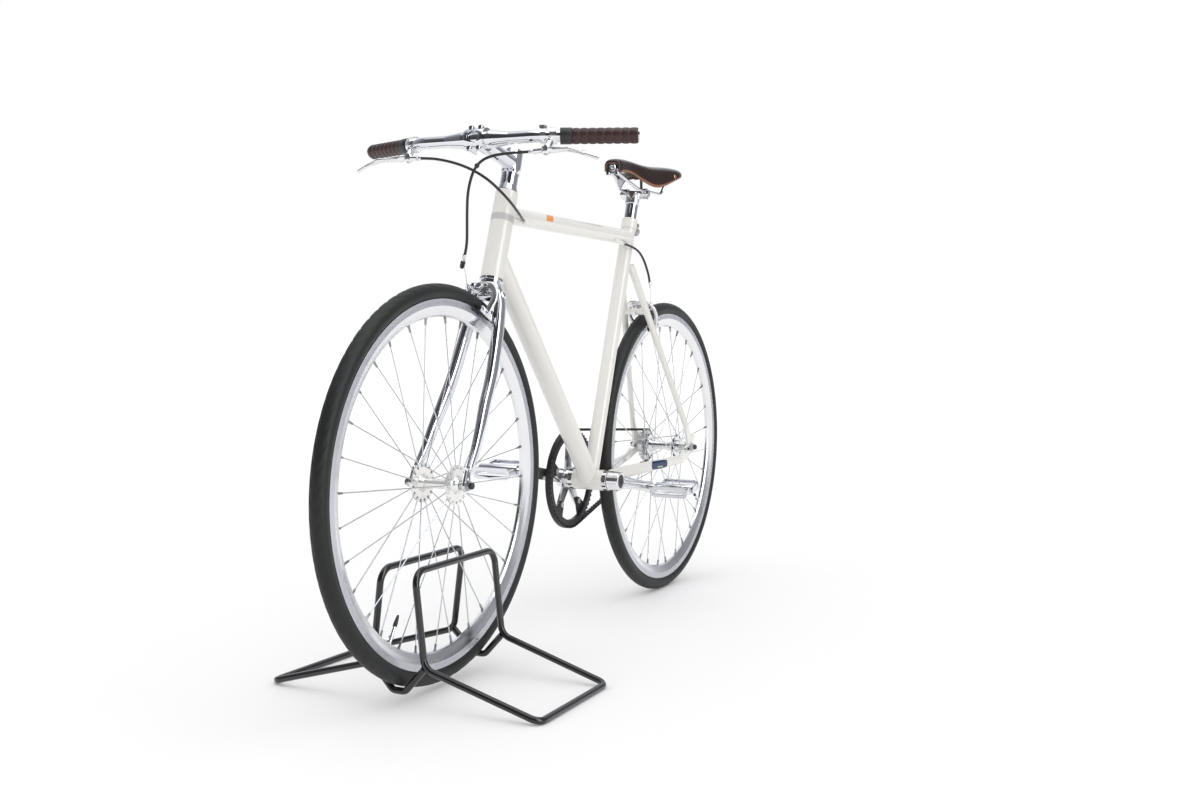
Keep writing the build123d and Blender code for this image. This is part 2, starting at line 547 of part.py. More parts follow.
def build_saddle():
    post_top = on_seat(SEAT_TUBE_LENGTH + 58)
    save("seat_post", rod(on_seat(SEAT_TUBE_LENGTH - 90), post_top, POST_R))
    lug = on_seat(SEAT_TUBE_LENGTH - 12) + at(0, 21, 0)
    binder = rod(lug + at(-13, 0, 0), lug + at(13, 0, 0), 5) - rod(BB, on_seat(SEAT_TUBE_LENGTH), SEAT_R + 1.8)
    disc_at = on_seat(SEAT_TUBE_LENGTH - 25) + at(0, 40, 0)
    binder += rod(lug, disc_at, 2.5) - rod(BB, on_seat(SEAT_TUBE_LENGTH), SEAT_R + 1.8)
    save("seat_binder", binder + rod(disc_at - at(0, 1.5, 0), disc_at + at(0, 1.5, 0), 9.5))

    # the post's clamp: a cross bolt draws ribbed cheeks against the two rails
    bolt_at = at(0, post_top.Y + 8, post_top.Z + 4)
    clamp = disc(bolt_at, 4, -33, 33)
    for side in (-1, 1):
        clamp += disc(bolt_at, 12, side * 15, side * 29) + disc(bolt_at, 6.5, side * 29, side * 34)
    clamp += rod(post_top - SEAT_U * 22, post_top + SEAT_U * 5, 16.5) + Pos(0, bolt_at.Y, bolt_at.Z) * Box(31, 16, 14)
    rails = [bent([point if side > 0 else flip(point) for point in RAIL], [12, 30, 18], 3.5) for side in (-1, 1)]
    for rail in rails:
        clamp -= rail
    save("saddle_clamp", clamp - rod(on_seat(0), post_top, POST_R))
    save("saddle_rails", Compound(children=rails))

    outer = loft([saddle_section(*station) for station in SADDLE], ruled=True)
    hollow = [(y, w - LEATHER, low, top - LEATHER) for y, w, low, top in SADDLE]
    first, last = hollow[0], hollow[-1]
    hollow = [(first[0] + LEATHER, *first[1:])] + hollow[1:-1] + [(last[0] - LEATHER, *last[1:])]
    inner = loft([saddle_section(y, w, low - 3, top) for y, w, low, top in hollow], ruled=True)
    leather = outer - inner
    save("saddle_leather", leather)
    nose = Pos(0, 201, 957) * Box(26, 14, 20) + rod(at(0, 187, 957), at(0, 201, 957), 5)
    cantle = Pos(0, 416, 967) * Box(100, 5, 18)
    for rail in rails:
        nose -= rail
        cantle -= rail
    save("saddle_frame", Compound(children=[nose - leather, cantle - leather]))


# ---------------------------------------------------------------- stand
HOOP_FRONT, HOOP_REAR = -609.0, -360.0


def under_tyre(y):
    """Height of a rod's middle that passes just under the front tyre, at a place along the bicycle."""
    reach = WHEEL_R + 1.8 + ROD_R
    return FRONT_AXLE.Z - sqrt(reach ** 2 - (y - FRONT_AXLE.Y) ** 2)


def build_stand():
    front_join, rear_join = at(50, -607, 64), at(50, -360, 68)
    front_foot, rear_foot = at(258, -605, ROD_R), at(255, -360, ROD_R)
    mid = (front_foot + rear_foot) * 0.5
    loop = bent([mid, front_foot, front_join, at(32, HOOP_FRONT, 219), at(32, HOOP_REAR, 219), rear_join, rear_foot,
                 mid + at(0, 0.2, 0)], [16, 24, 24, 24, 24, 16], ROD_R)
    save_pair("stand_loop", loop)
    cradles = []
    for join, dip_y in ((front_join, -605), (rear_join, -355)):
        low = at(12, dip_y, under_tyre(dip_y))
        cradles.append(bent([join, low, flip(low), flip(join)], [14, 14], ROD_R) - both(loop))
    save("stand_cradles", Compound(children=cradles))


# ---------------------------------------------------------------- cables
def cable(name, points, r=2.5):
    """A brake cable: straight runs joined by arcs as large as the runs allow."""
    radii = []
    for a, b, c in zip(points, points[1:], points[2:]):
        turn = radians((b - a).get_angle(c - b))
        radii.append(0.45 * min((b - a).length, (c - b).length) / tan(turn / 2))
    print(name, "length", round(sum((q - p).length for p, q in zip(points, points[1:]))),
          "radii", [round(v) for v in radii])
    save(name, bent(points, radii, r))


FRONT_ADJUSTER = at(-24, -374, 729)
REAR_ADJUSTER = at(30, 329, 707)

build_frame()
build_wheel("front_wheel", FRONT_AXLE, front_hub(), FLANGE_R, 34.0, False, 0.74)
build_wheel("rear_wheel", REAR_AXLE, rear_hub(), 25.0, 34.0, True, 0.47)
build_axles()
left_tip, right_tip = build_drive()
build_pedal(1, left_tip)
build_pedal(-1, right_tip)
build_fork()
bend, end = build_cockpit()
build_grips(bend, end)
build_levers(bend, end)
build_band(bend, end)
build_caliper("front", CROWN, TO_FRONT_AXLE, FRONT_W, FRONT_ADJUSTER, 22)
build_caliper("rear", BRIDGE, TO_REAR_AXLE, BRAKE_W, REAR_ADJUSTER, 8)
barrel = LEVER_PIVOT + LEVER_BARREL
cable("front_brake_cable", [barrel, at(95, -385, 911), at(72, -392, 909.5), at(50, -398, 906.5),
                            at(31, -402.5, 899.5), at(17.5, -405, 886), at(9, -405.5, 866), at(2, -403, 842),
                            at(-2, -398, 815), at(-6, -391.5, 788), at(-9.5, -385.5, 765), at(-15, -380, 747),
                            FRONT_ADJUSTER])
cable("rear_brake_cable_front", [flip(barrel), at(-90, -382, 910.5), at(-60, -387, 905.5), at(-28, -391, 897.5),
                                 at(5, -391.5, 885), at(35, -387, 866.5), at(49, -370, 848), at(50, -338, 833),
                                 at(44, -304, 821), at(33, -268, 812.5), at(18.3, -232.3, 808.5)])
cable("rear_brake_cable_rear", [at(17.5, 203.2, 796.8), at(18.5, 228, 795), at(20.5, 254, 791.5), at(23.5, 280, 784),
                                at(26.5, 300, 767), at(29, 313, 746), at(30.4, 323, 727), REAR_ADJUSTER])
build_saddle()
build_stand()
print(len(PARTS), "parts")
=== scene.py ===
# %% [markdown]
# # A city bicycle in its wheel stand
# The CAD model gives the bicycle's real shapes and sizes. This notebook dresses it: a finish for every
# material, and the soft, sewn or very small pieces that are easier to make as meshes.

# %% Load the frame
import json
from math import acos, cos, pi, radians, sin, sqrt
import bmesh
import bpy
from mathutils import Matrix, Vector


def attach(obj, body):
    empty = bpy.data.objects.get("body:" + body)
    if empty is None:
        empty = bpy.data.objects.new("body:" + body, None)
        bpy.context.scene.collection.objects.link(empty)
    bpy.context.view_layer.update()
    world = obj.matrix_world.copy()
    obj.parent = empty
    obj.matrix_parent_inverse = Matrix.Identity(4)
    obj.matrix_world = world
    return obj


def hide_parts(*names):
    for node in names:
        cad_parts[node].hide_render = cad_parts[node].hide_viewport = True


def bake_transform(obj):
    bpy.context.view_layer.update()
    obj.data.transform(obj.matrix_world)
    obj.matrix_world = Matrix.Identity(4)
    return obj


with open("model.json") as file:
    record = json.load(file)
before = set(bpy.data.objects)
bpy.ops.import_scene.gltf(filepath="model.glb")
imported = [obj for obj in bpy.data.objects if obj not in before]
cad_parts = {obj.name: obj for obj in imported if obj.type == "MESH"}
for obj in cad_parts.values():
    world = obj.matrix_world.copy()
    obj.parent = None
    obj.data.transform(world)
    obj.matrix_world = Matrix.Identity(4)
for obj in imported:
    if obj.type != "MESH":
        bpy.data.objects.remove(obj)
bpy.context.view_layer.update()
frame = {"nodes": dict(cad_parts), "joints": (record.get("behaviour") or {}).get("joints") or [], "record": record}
NODES = frame["nodes"]
JOINTS = {joint["name"]: joint for joint in frame["joints"]}
FRONT_AXLE = Vector(JOINTS["front_wheel_spin"]["pos_m"])
REAR_AXLE = Vector(JOINTS["rear_wheel_spin"]["pos_m"])
CRANK_AXLE = Vector(JOINTS["crank_spin"]["pos_m"])
HEAD_POINT = Vector(JOINTS["steering"]["pos_m"])
HEAD_LINE = Vector(JOINTS["steering"]["axis"]).normalized()
print(len(NODES), "CAD pieces, wheelbase", round(REAR_AXLE.y - FRONT_AXLE.y, 4), "m")

# %% [markdown]
# ## Camera
# The bicycle is seen from its front left, a little below the tops of its wheels, with a moderately wide
# lens. The camera could be aimed by a Track To constraint. A matrix built from three turns is used
# instead, because it gives exactly the same view every time: a turn about Z, a tip down, and a slight
# roll.

# %% Camera
YAW, TIP, ROLL = 0.4476, 0.053, 0.009
camera_data = bpy.data.cameras.new("camera")
camera_data.sensor_width = 36.0
camera_data.lens = 38.48
camera = bpy.data.objects.new("camera", camera_data)
camera.matrix_world = (Matrix.Translation((1.178, -2.31615, 0.6059)) @ Matrix.Rotation(YAW, 4, "Z")
                       @ Matrix.Rotation(pi / 2 - TIP, 4, "X") @ Matrix.Rotation(ROLL, 4, "Z"))
bpy.context.scene.collection.objects.link(camera)
bpy.context.scene.camera = camera
print("camera at", tuple(round(v, 3) for v in camera.matrix_world.translation))

# %% [markdown]
# ## Mesh helpers
# Most small parts of a bicycle are turned: bolts, caps, ferrules, nipples. Each could be its own
# cylinder, but a helper that adds a turned shape from its (along, radius) profile lets a whole set of
# bolts be one piece. A second helper joins rings of points to a skin, for shapes that aren't round.

# %% Helpers for meshes
def frame_of(axis):
    """Two directions square to an axis."""
    axis = Vector(axis).normalized()
    side = axis.orthogonal().normalized()
    return axis, side, axis.cross(side)


def add_turned(bm, origin, axis, profile, steps=16, material=0):
    """Adds a closed turned solid. A profile that ends off the axis is capped."""
    axis, side, up = frame_of(axis)
    rings = []
    for along, radius in profile:
        centre = Vector(origin) + axis * along
        rings.append([bm.verts.new(centre + (side * cos(2 * pi * i / steps) + up * sin(2 * pi * i / steps)) * radius)
                      for i in range(steps)])
    for a, b in zip(rings, rings[1:]):
        for i in range(steps):
            j = (i + 1) % steps
            bm.faces.new((a[i], a[j], b[j], b[i])).material_index = material
    bm.faces.new(rings[0][::-1]).material_index = material
    bm.faces.new(rings[-1]).material_index = material


def soft_oblong(steps, power, other_power=None):
    """(x, y) places round a unit section. Power 1 is an ellipse, and less is squarer."""
    for k in range(steps):
        c, s = cos(2 * pi * k / steps), sin(2 * pi * k / steps)
        yield abs(c) ** power * (1 if c > 0 else -1), abs(s) ** (other_power or power) * (1 if s > 0 else -1)


def add_loft(bm, rings, material=0, caps=True):
    """Joins closed rings of points, each with the same count, into one skin."""
    made = [[bm.verts.new(p) for p in ring] for ring in rings]
    count = len(made[0])
    for a, b in zip(made, made[1:]):
        for i in range(count):
            j = (i + 1) % count
            bm.faces.new((a[i], a[j], b[j], b[i])).material_index = material
    if caps:
        bm.faces.new(made[0][::-1]).material_index = material
        bm.faces.new(made[-1]).material_index = material
    return made


def piece(name, bm, materials, body, sharp=35):
    """Makes the object: outward faces, smooth shading up to an angle, and its place on a CAD body."""
    bmesh.ops.recalc_face_normals(bm, faces=bm.faces)
    mesh = bpy.data.meshes.new(name)
    bm.to_mesh(mesh)
    bm.free()
    mesh.polygons.foreach_set("use_smooth", [True] * len(mesh.polygons))
    mesh.set_sharp_from_angle(angle=radians(sharp))
    obj = bpy.data.objects.new(name, mesh)
    bpy.context.scene.collection.objects.link(obj)
    for material in materials if isinstance(materials, (list, tuple)) else [materials]:
        mesh.materials.append(material)
    if body:
        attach(obj, body)
    print(name, len(mesh.polygons), "faces")
    return obj


print("helpers ready: add_turned, soft_oblong, add_loft, piece")

# %% [markdown]
# ## Shared surface effects
# Three effects turn up in many finishes: a fine grain, soft handling marks, and the concentric lines
# that a lathe leaves round an axle. They could be painted as pictures, but these meshes are not
# unwrapped, so noise in each piece's own space is used. Each effect is a node group with its own
# inputs, built once.

# %% Helpers for node groups
def new_group(name, inputs, outputs):
    """An empty shader group. Inputs are (name, kind, default); outputs are (name, kind)."""
    tree = bpy.data.node_groups.new(name, "ShaderNodeTree")
    for label, kind, default in inputs:
        socket = tree.interface.new_socket(label, in_out="INPUT", socket_type="NodeSocket" + kind)
        socket.default_value = default
    for label, kind in outputs:
        tree.interface.new_socket(label, in_out="OUTPUT", socket_type="NodeSocket" + kind)
    return tree, tree.nodes.new("NodeGroupInput"), tree.nodes.new("NodeGroupOutput")


def node(tree, kind, **settings):
    made = tree.nodes.new("ShaderNode" + kind)
    for key, value in settings.items():
        if key in made.inputs:
            made.inputs[key].default_value = value
        else:
            setattr(made, key, value)
    return made


def wire(tree, rows):
    """Links sockets. Each row is (source node, output, target node, input)."""
    for source, out, target, into in rows:
        tree.links.new(source.outputs[out], target.inputs[into])


print("helpers ready: new_group, node, wire")

# %% [markdown]
# The grain is what a fingertip feels: the tooth of rubber, or the last trace of polishing on metal. It
# is one noise, whose height feeds a bump.

# %% Fine grain
grain_group, group_in, group_out = new_group(
    "fine grain", [("Scale", "Float", 400.0), ("Detail", "Float", 3.0)], [("Height", "Float")])
place = node(grain_group, "TexCoord")
noise = node(grain_group, "TexNoise")
wire(grain_group, ((place, "Object", noise, "Vector"), (group_in, "Scale", noise, "Scale"),
                   (group_in, "Detail", noise, "Detail"), (noise, "Fac", group_out, "Height")))
print("group:", grain_group.name)

# %% [markdown]
# Nothing that people touch is equally shiny everywhere. Large soft clouds between a low and a high
# value drive the roughness, and a slower copy of them mixes two tones of colour.

# %% Handling marks
marks_group, group_in, group_out = new_group(
    "handling marks", [("Scale", "Float", 14.0), ("Low", "Float", 0.1), ("High", "Float", 0.3)], [("Value", "Float")])
place = node(marks_group, "TexCoord")
cloud = node(marks_group, "TexNoise", Detail=6.0, Roughness=0.65)
level = node(marks_group, "MapRange", **{"From Min": 0.3, "From Max": 0.7})
wire(marks_group, ((place, "Object", cloud, "Vector"), (group_in, "Scale", cloud, "Scale"),
                   (cloud, "Fac", level, "Value"), (group_in, "Low", level, "To Min"),
                   (group_in, "High", level, "To Max"), (level, "Result", group_out, "Value")))
print("group:", marks_group.name)

# %% [markdown]
# A rim's brake track is turned on a lathe, which leaves rings round the axle. The distance from the
# axle is fed to a one-dimensional noise, so every ring is exact without any mesh detail.

# %% Turned lines
turned_group, group_in, group_out = new_group(
    "turned lines", [("Centre", "Vector", (0, 0, 0)), ("Lines per metre", "Float", 1500.0)],
    [("Height", "Float"), ("Radius", "Float")])
place = node(turned_group, "TexCoord")
offset = node(turned_group, "VectorMath", operation="SUBTRACT")
flat = node(turned_group, "VectorMath", operation="MULTIPLY")
flat.inputs[1].default_value = (0, 1, 1)
radius = node(turned_group, "VectorMath", operation="LENGTH")
along = node(turned_group, "Math", operation="MULTIPLY")
lines = node(turned_group, "TexNoise", noise_dimensions="1D", Scale=1.0, Detail=2.0)
wire(turned_group, ((place, "Object", offset, 0), (group_in, "Centre", offset, 1), (offset, "Vector", flat, 0),
                    (flat, "Vector", radius, 0), (radius, "Value", along, 0),
                    (group_in, "Lines per metre", along, 1), (along, "Value", lines, "W"),
                    (lines, "Fac", group_out, "Height"), (radius, "Value", group_out, "Radius")))
print("group:", turned_group.name)

# %% [markdown]
# ## Finishes
# Each finish is a Principled shader whose colour, roughness and bump vary over the surface. They could
# be built node by node each time, but most start alike, so a helper makes the start: two tones mixed by
# marks, a roughness range, and a fine bump. A later cell then adds only what is special.

# %% Helper for finishes
TONE_SCALE, BUMP_DEPTH = 0.6, 0.001          # tones change more slowly than marks; a bump is 1 mm at strength 1


def finish(name, tone, second_tone, rough, grain=(400.0, 0.02), marks_scale=14.0, **shader):
    """A material with two tones in soft clouds, a (low, high) roughness and a fine bump."""
    material = bpy.data.materials.new(name)
    material.use_nodes = True
    tree = material.node_tree
    principled = tree.nodes["Principled BSDF"]
    for key, value in shader.items():
        principled.inputs[key.replace("_", " ").title().replace("Ior", "IOR")].default_value = value
    marks = node(tree, "Group", node_tree=marks_group)
    marks.inputs["Scale"].default_value = marks_scale
    marks.inputs["Low"].default_value, marks.inputs["High"].default_value = rough
    tones = node(tree, "Group", node_tree=marks_group)
    tones.inputs["Scale"].default_value = marks_scale * TONE_SCALE
    tones.inputs["Low"].default_value, tones.inputs["High"].default_value = 0.0, 1.0
    mix = node(tree, "Mix", data_type="RGBA")
    mix.inputs["A"].default_value, mix.inputs["B"].default_value = (*tone, 1), (*second_tone, 1)
    fine = node(tree, "Group", node_tree=grain_group)
    fine.inputs["Scale"].default_value = grain[0]
    bump = node(tree, "Bump", Strength=grain[1], Distance=BUMP_DEPTH)
    wire(tree, ((marks, "Value", principled, "Roughness"), (tones, "Value", mix, "Factor"),
                (mix, "Result", principled, "Base Color"), (fine, "Height", bump, "Height"),
                (bump, "Normal", principled, "Normal")))
    material["principled"], material["mix"], material["bump"] = principled.name, mix.name, bump.name
    print("finish:", name)
    return material


def parts_of(material):
    """The nodes of a finish that a later cell may build on."""
    nodes = material.node_tree.nodes
    return material.node_tree, *(nodes[material[key]] for key in ("principled", "mix", "bump"))

# %% [markdown]
# The frame is sprayed in a warm off-white under clear lacquer, and the stand in plain black. One glossy
# layer would do, but the shader's coat keeps the colour soft under a sharp reflection, as lacquer does.
# It levels itself but never quite, so a very low, wide bump bends the reflections a little.

# %% Frame paint, stand paint
frame_paint = finish("ivory lacquer", (0.80, 0.785, 0.745), (0.79, 0.775, 0.732), (0.3, 0.34), (60.0, 0.008), 3.0,
                     coat_weight=1.0, coat_roughness=0.04, specular_ior_level=0.15)
stand_paint = finish("black rod paint", (0.008, 0.008, 0.009), (0.012, 0.012, 0.013), (0.14, 0.26), (90.0, 0.06), 20.0,
                     coat_weight=0.4, coat_roughness=0.08)

# %% [markdown]
# Chrome plate on the fork, stem and bar is a mirror with faint smears. Polished alloy is a little
# softer, and brushed steel softer again. Cast and turned shells are partly frosted, so a lower Metallic
# lets some of their own pale colour through. They differ by their numbers alone, so the helper makes
# them all.

# %% Bright metals
chrome = finish("chrome plate", (0.8, 0.81, 0.84), (0.74, 0.75, 0.79), (0.03, 0.08), (300.0, 0.002), 22.0,
                metallic=1.0)
alloy = finish("polished alloy", (0.84, 0.84, 0.85), (0.78, 0.78, 0.8), (0.1, 0.18), (700.0, 0.01), 30.0,
               metallic=0.93)
cast_alloy = finish("cast alloy", (0.86, 0.86, 0.86), (0.78, 0.78, 0.79), (0.14, 0.26), (700.0, 0.02), 40.0,
                    metallic=0.62)
hub_alloy = finish("polished hub shell", (0.93, 0.92, 0.9), (0.86, 0.85, 0.83), (0.12, 0.22), (700.0, 0.01), 40.0,
                   metallic=0.55)
steel = finish("bright steel", (0.62, 0.63, 0.65), (0.52, 0.53, 0.55), (0.2, 0.36), (900.0, 0.03), 40.0, metallic=1.0)
spoke_steel = finish("spoke steel", (0.66, 0.67, 0.69), (0.58, 0.59, 0.61), (0.22, 0.34), (900.0, 0.02), 12.0,
                     metallic=1.0)
nipple_brass = finish("plated nipple", (0.38, 0.38, 0.4), (0.3, 0.3, 0.32), (0.25, 0.4), (900.0, 0.02), 60.0,
                      metallic=1.0)
copper = finish("copper rivet", (0.72, 0.33, 0.2), (0.6, 0.26, 0.15), (0.25, 0.4), (600.0, 0.08), 60.0, metallic=1.0)

# %% [markdown]
# A rim is extruded, rolled and welded, and its brake track is then turned. The track is a shade bluer
# and duller than the polished bed below it. It could be a separate piece, but a mask from the distance
# to the axle divides the one mesh exactly where the lathe stopped.

# %% Rims
TRACK_INNER, TRACK_EDGE, LATHE_LINES = 0.3005, 0.0003, 4200.0


def rim_finish(name, axle):
    material = finish(name, (0.86, 0.86, 0.87), (0.8, 0.8, 0.82), (0.16, 0.26), (700.0, 0.01), 18.0, metallic=1.0)
    tree, principled, mix, bump = parts_of(material)
    turned = node(tree, "Group", node_tree=turned_group)
    turned.inputs["Centre"].default_value = axle
    turned.inputs["Lines per metre"].default_value = LATHE_LINES
    on_track = node(tree, "MapRange", **{"From Min": TRACK_INNER - TRACK_EDGE, "From Max": TRACK_INNER + TRACK_EDGE})
    colour = node(tree, "Mix", data_type="RGBA")
    colour.inputs["B"].default_value = (0.6, 0.61, 0.66, 1)
    height = node(tree, "Math", operation="MULTIPLY")
    wire(tree, ((turned, "Radius", on_track, "Value"), (on_track, "Result", colour, "Factor"),
                (mix, "Result", colour, "A"), (colour, "Result", principled, "Base Color"),
                (turned, "Height", height, 0), (on_track, "Result", height, 1), (height, "Value", bump, "Height")))
    bump.inputs["Strength"].default_value = 0.25
    return material


front_rim_finish = rim_finish("front rim alloy", FRONT_AXLE)
rear_rim_finish = rim_finish("rear rim alloy", REAR_AXLE)

# %% [markdown]
# The black pieces all differ: tyre rubber is matt with grey dust, the belt is satin, the ring under it
# is anodised, brake pads are dull, and cable housing has a thin glossy sleeve. One black for all would
# look like one lump, so each has its own tone, roughness and grain.

# %% Rubber, plastic and anodised black
tyre_rubber = finish("tyre rubber", (0.013, 0.0135, 0.013), (0.019, 0.0195, 0.019), (0.42, 0.56), (900.0, 0.12), 9.0,
                     specular_ior_level=0.32)
belt_rubber = finish("belt rubber", (0.012, 0.012, 0.013), (0.018, 0.018, 0.019), (0.4, 0.55), (1200.0, 0.15), 40.0,
                     specular_ior_level=0.35)
black_anodised = finish("black anodised", (0.02, 0.02, 0.022), (0.03, 0.03, 0.033), (0.3, 0.42), (900.0, 0.04), 30.0,
                        metallic=0.4, specular_ior_level=0.35)
pad_rubber = finish("dull rubber", (0.012, 0.012, 0.012), (0.02, 0.02, 0.02), (0.45, 0.62), (700.0, 0.2), 40.0,
                    specular_ior_level=0.35)
housing_plastic = finish("housing sleeve", (0.012, 0.012, 0.013), (0.02, 0.02, 0.02), (0.25, 0.36), (900.0, 0.05), 40.0)
black_plastic = finish("black plastic", (0.014, 0.014, 0.015), (0.024, 0.024, 0.025), (0.34, 0.5), (900.0, 0.15), 50.0)

# %% [markdown]
# Leather has pores and soft creases at two sizes. The saddle is dark chocolate, polished by use, with a
# tan cut edge; the grips are redder and drier. Pores could be sculpted, but they are much smaller than
# the hide's faces, so a pattern of cells feeds a second bump on top of the grain.

# %% Leather
def leather(name, tone, second_tone, rough, **shader):
    material = finish(name, tone, second_tone, rough, (1500.0, 0.08), 16.0, **shader)
    tree, principled, _, bump = parts_of(material)
    place = node(tree, "TexCoord")
    pores = node(tree, "TexVoronoi", Scale=620.0, feature="DISTANCE_TO_EDGE")
    depth = node(tree, "MapRange", **{"From Min": 0.0, "From Max": 0.18})
    creases = node(tree, "Bump", Strength=0.12, Distance=0.0004)
    wire(tree, ((place, "Object", pores, "Vector"), (pores, "Distance", depth, "Value"),
                (depth, "Result", creases, "Height"), (bump, "Normal", creases, "Normal"),
                (creases, "Normal", principled, "Normal")))
    return material


saddle_leather = leather("saddle leather", (0.016, 0.0065, 0.0055), (0.026, 0.011, 0.009), (0.2, 0.32),
                         coat_weight=0.6, coat_roughness=0.1, specular_ior_level=0.22)
edge_leather = leather("tan cut edge", (0.3, 0.125, 0.06), (0.22, 0.085, 0.04), (0.35, 0.5))
grip_leather = leather("grip leather", (0.05, 0.02, 0.018), (0.034, 0.014, 0.0125), (0.34, 0.48), coat_weight=0.1,
                       specular_ior_level=0.4)

# %% [markdown]
# ## Dressing the CAD pieces
# A CAD piece keeps its mesh; only the finish in its material slot changes. Each could be set by its own
# line, but a table from slot to finish with a few exceptions is shorter and can't forget a piece.

# %% Finish of every CAD node
FINISH_OF_SLOT = {"frame_paint": frame_paint, "chrome": chrome, "alloy": alloy, "rim_alloy": front_rim_finish,
                  "steel": steel, "tyre": tyre_rubber, "belt_rubber": belt_rubber, "black_ring": black_anodised,
                  "pad_rubber": pad_rubber, "cable_housing": housing_plastic, "brown_leather": saddle_leather,
                  "stand_black": stand_paint}
SLOT_OF_NODE = {row["node"]: row["material_slot"] for row in frame["record"]["subparts"]}
OWN_FINISH = {"rear_wheel_rim": rear_rim_finish, "front_wheel_spokes": spoke_steel, "rear_wheel_spokes": spoke_steel,
              "left_grip": grip_leather, "right_grip": grip_leather, "grip_collars": black_plastic,
              "left_pedal": chrome, "right_pedal": chrome, "front_wheel_hub": hub_alloy, "rear_sprocket": cast_alloy}
for name, cad_piece in NODES.items():
    material = OWN_FINISH.get(name, FINISH_OF_SLOT[SLOT_OF_NODE[name]])
    if not cad_piece.material_slots:
        cad_piece.data.materials.append(material)
    for slot in cad_piece.material_slots:
        slot.material = material
print("finishes set on", len(NODES), "pieces")

# %% [markdown]
# No edge on a real casting is razor sharp, and a small round catches the light along it. It could be a
# fillet in CAD, but so many small fillets are heavy, so the machined and cast pieces get a bevel
# modifier on their sharp edges. A weld comes first, because the bevel needs faces that share their
# edges.

# %% Rounded edges
ROUNDED = {"front_brake_pads": 0.0008, "rear_brake_pads": 0.0008, "left_pedal": 0.0006, "right_pedal": 0.0006,
           "right_crank": 0.0012, "stem": 0.0008, "stem_faceplate": 0.0008, "brake_lever_mounts": 0.0007,
           "saddle_clamp": 0.0007, "saddle_frame": 0.0008, "front_axle": 0.0005, "rear_axle": 0.0005,
           "belt_ring": 0.0005, "dropouts": 0.0006, "grip_collars": 0.0006, "bar_plugs": 0.0005}
WELD_REACH, SHARP_EDGE = 0.00002, radians(38)
for name, width in ROUNDED.items():
    weld = NODES[name].modifiers.new("weld", "WELD")
    weld.merge_threshold = WELD_REACH
    bevel = NODES[name].modifiers.new("round", "BEVEL")
    bevel.width, bevel.segments = width, 2
    bevel.limit_method, bevel.angle_limit = "ANGLE", SHARP_EDGE
    bevel.use_clamp_overlap = True
print("rounded", len(ROUNDED), "pieces")

# %% [markdown]
# ## Brake cables
# Each cable is 5 mm housing over a wire. It could be drawn as a chain of cylinders, but these would
# show corners, so its line is a NURBS curve with the route's points as control points. A second helper
# reads the smooth line back as points, to measure it and to put fittings on it.

# %% Cable helpers
CABLE = 0.005


def route_curve(name, points, bevel):
    """A smooth open curve through a route's control points, in metres."""
    data = bpy.data.curves.new(name, "CURVE")
    data.dimensions = "3D"
    data.bevel_depth = bevel
    data.bevel_resolution = 4
    data.use_fill_caps = True
    data.resolution_u = 12
    spline = data.splines.new("NURBS")
    spline.points.add(len(points) - 1)
    for target, point in zip(spline.points, points):
        target.co = (*point, 1)
    spline.order_u = 3
    spline.use_endpoint_u = True
    obj = bpy.data.objects.new(name, data)
    bpy.context.scene.collection.objects.link(obj)
    return obj


def line_of(points):
    """Points along the route's own curve, read from the curve without thickness."""
    bare = route_curve("measure", points, 0)
    mesh = bpy.data.meshes.new_from_object(bare.evaluated_get(bpy.context.evaluated_depsgraph_get()))
    line = [v.co.copy() for v in mesh.vertices]
    bpy.data.objects.remove(bare)
    bpy.data.meshes.remove(mesh)
    return line


def length_of(line):
    return sum((b - a).length for a, b in zip(line, line[1:]))


print("cable is", CABLE, "m thick")

# %% [markdown]
# A route is a list of places that the real cable passes: out of the lever's barrel, round the head tube
# in one slack bow, and into its stop. The points lie close together where the cable bends most.

# %% Cable routes
barrel = Vector((0.1176, -0.3772, 0.9123))
front_route = [tuple(barrel), (0.095, -0.385, 0.911), (0.072, -0.392, 0.9095), (0.05, -0.398, 0.9065),
               (0.031, -0.4025, 0.8995), (0.0175, -0.405, 0.886), (0.009, -0.4055, 0.866), (0.002, -0.403, 0.842),
               (-0.002, -0.398, 0.815), (-0.006, -0.3915, 0.788), (-0.0095, -0.3855, 0.765), (-0.015, -0.38, 0.747),
               (-0.024, -0.374, 0.729)]
crossing_route = [(-barrel.x, barrel.y, barrel.z), (-0.09, -0.382, 0.9105), (-0.06, -0.387, 0.9055),
                  (-0.028, -0.391, 0.8975), (0.005, -0.3915, 0.885), (0.035, -0.387, 0.8665), (0.049, -0.37, 0.848),
                  (0.05, -0.338, 0.833), (0.044, -0.304, 0.821), (0.033, -0.268, 0.8125), (0.0183, -0.2323, 0.8085)]
rear_route = [(0.0175, 0.2032, 0.7968), (0.0185, 0.228, 0.795), (0.0205, 0.254, 0.7915), (0.0235, 0.28, 0.784),
              (0.0265, 0.3, 0.767), (0.029, 0.313, 0.746), (0.0304, 0.323, 0.727), (0.03, 0.329, 0.707)]

print("routes of", len(front_route), len(crossing_route), len(rear_route), "points")

# %% [markdown]
# The front brake's cable turns with the fork, and the rear brake's last piece stays on the frame. Each
# is on one body from end to end, so the curve itself can be the piece.

# %% Cables on one body
for name, route, body in (("front_brake_cable", front_route, "steering"),
                          ("rear_brake_cable_rear", rear_route, "frame")):
    cable = route_curve(name + "_housing", route, CABLE / 2)
    cable.data.materials.append(housing_plastic)
    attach(cable, body)
    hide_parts(name)
    length = length_of(line_of(route))
    print(name, round(length, 4), "m")
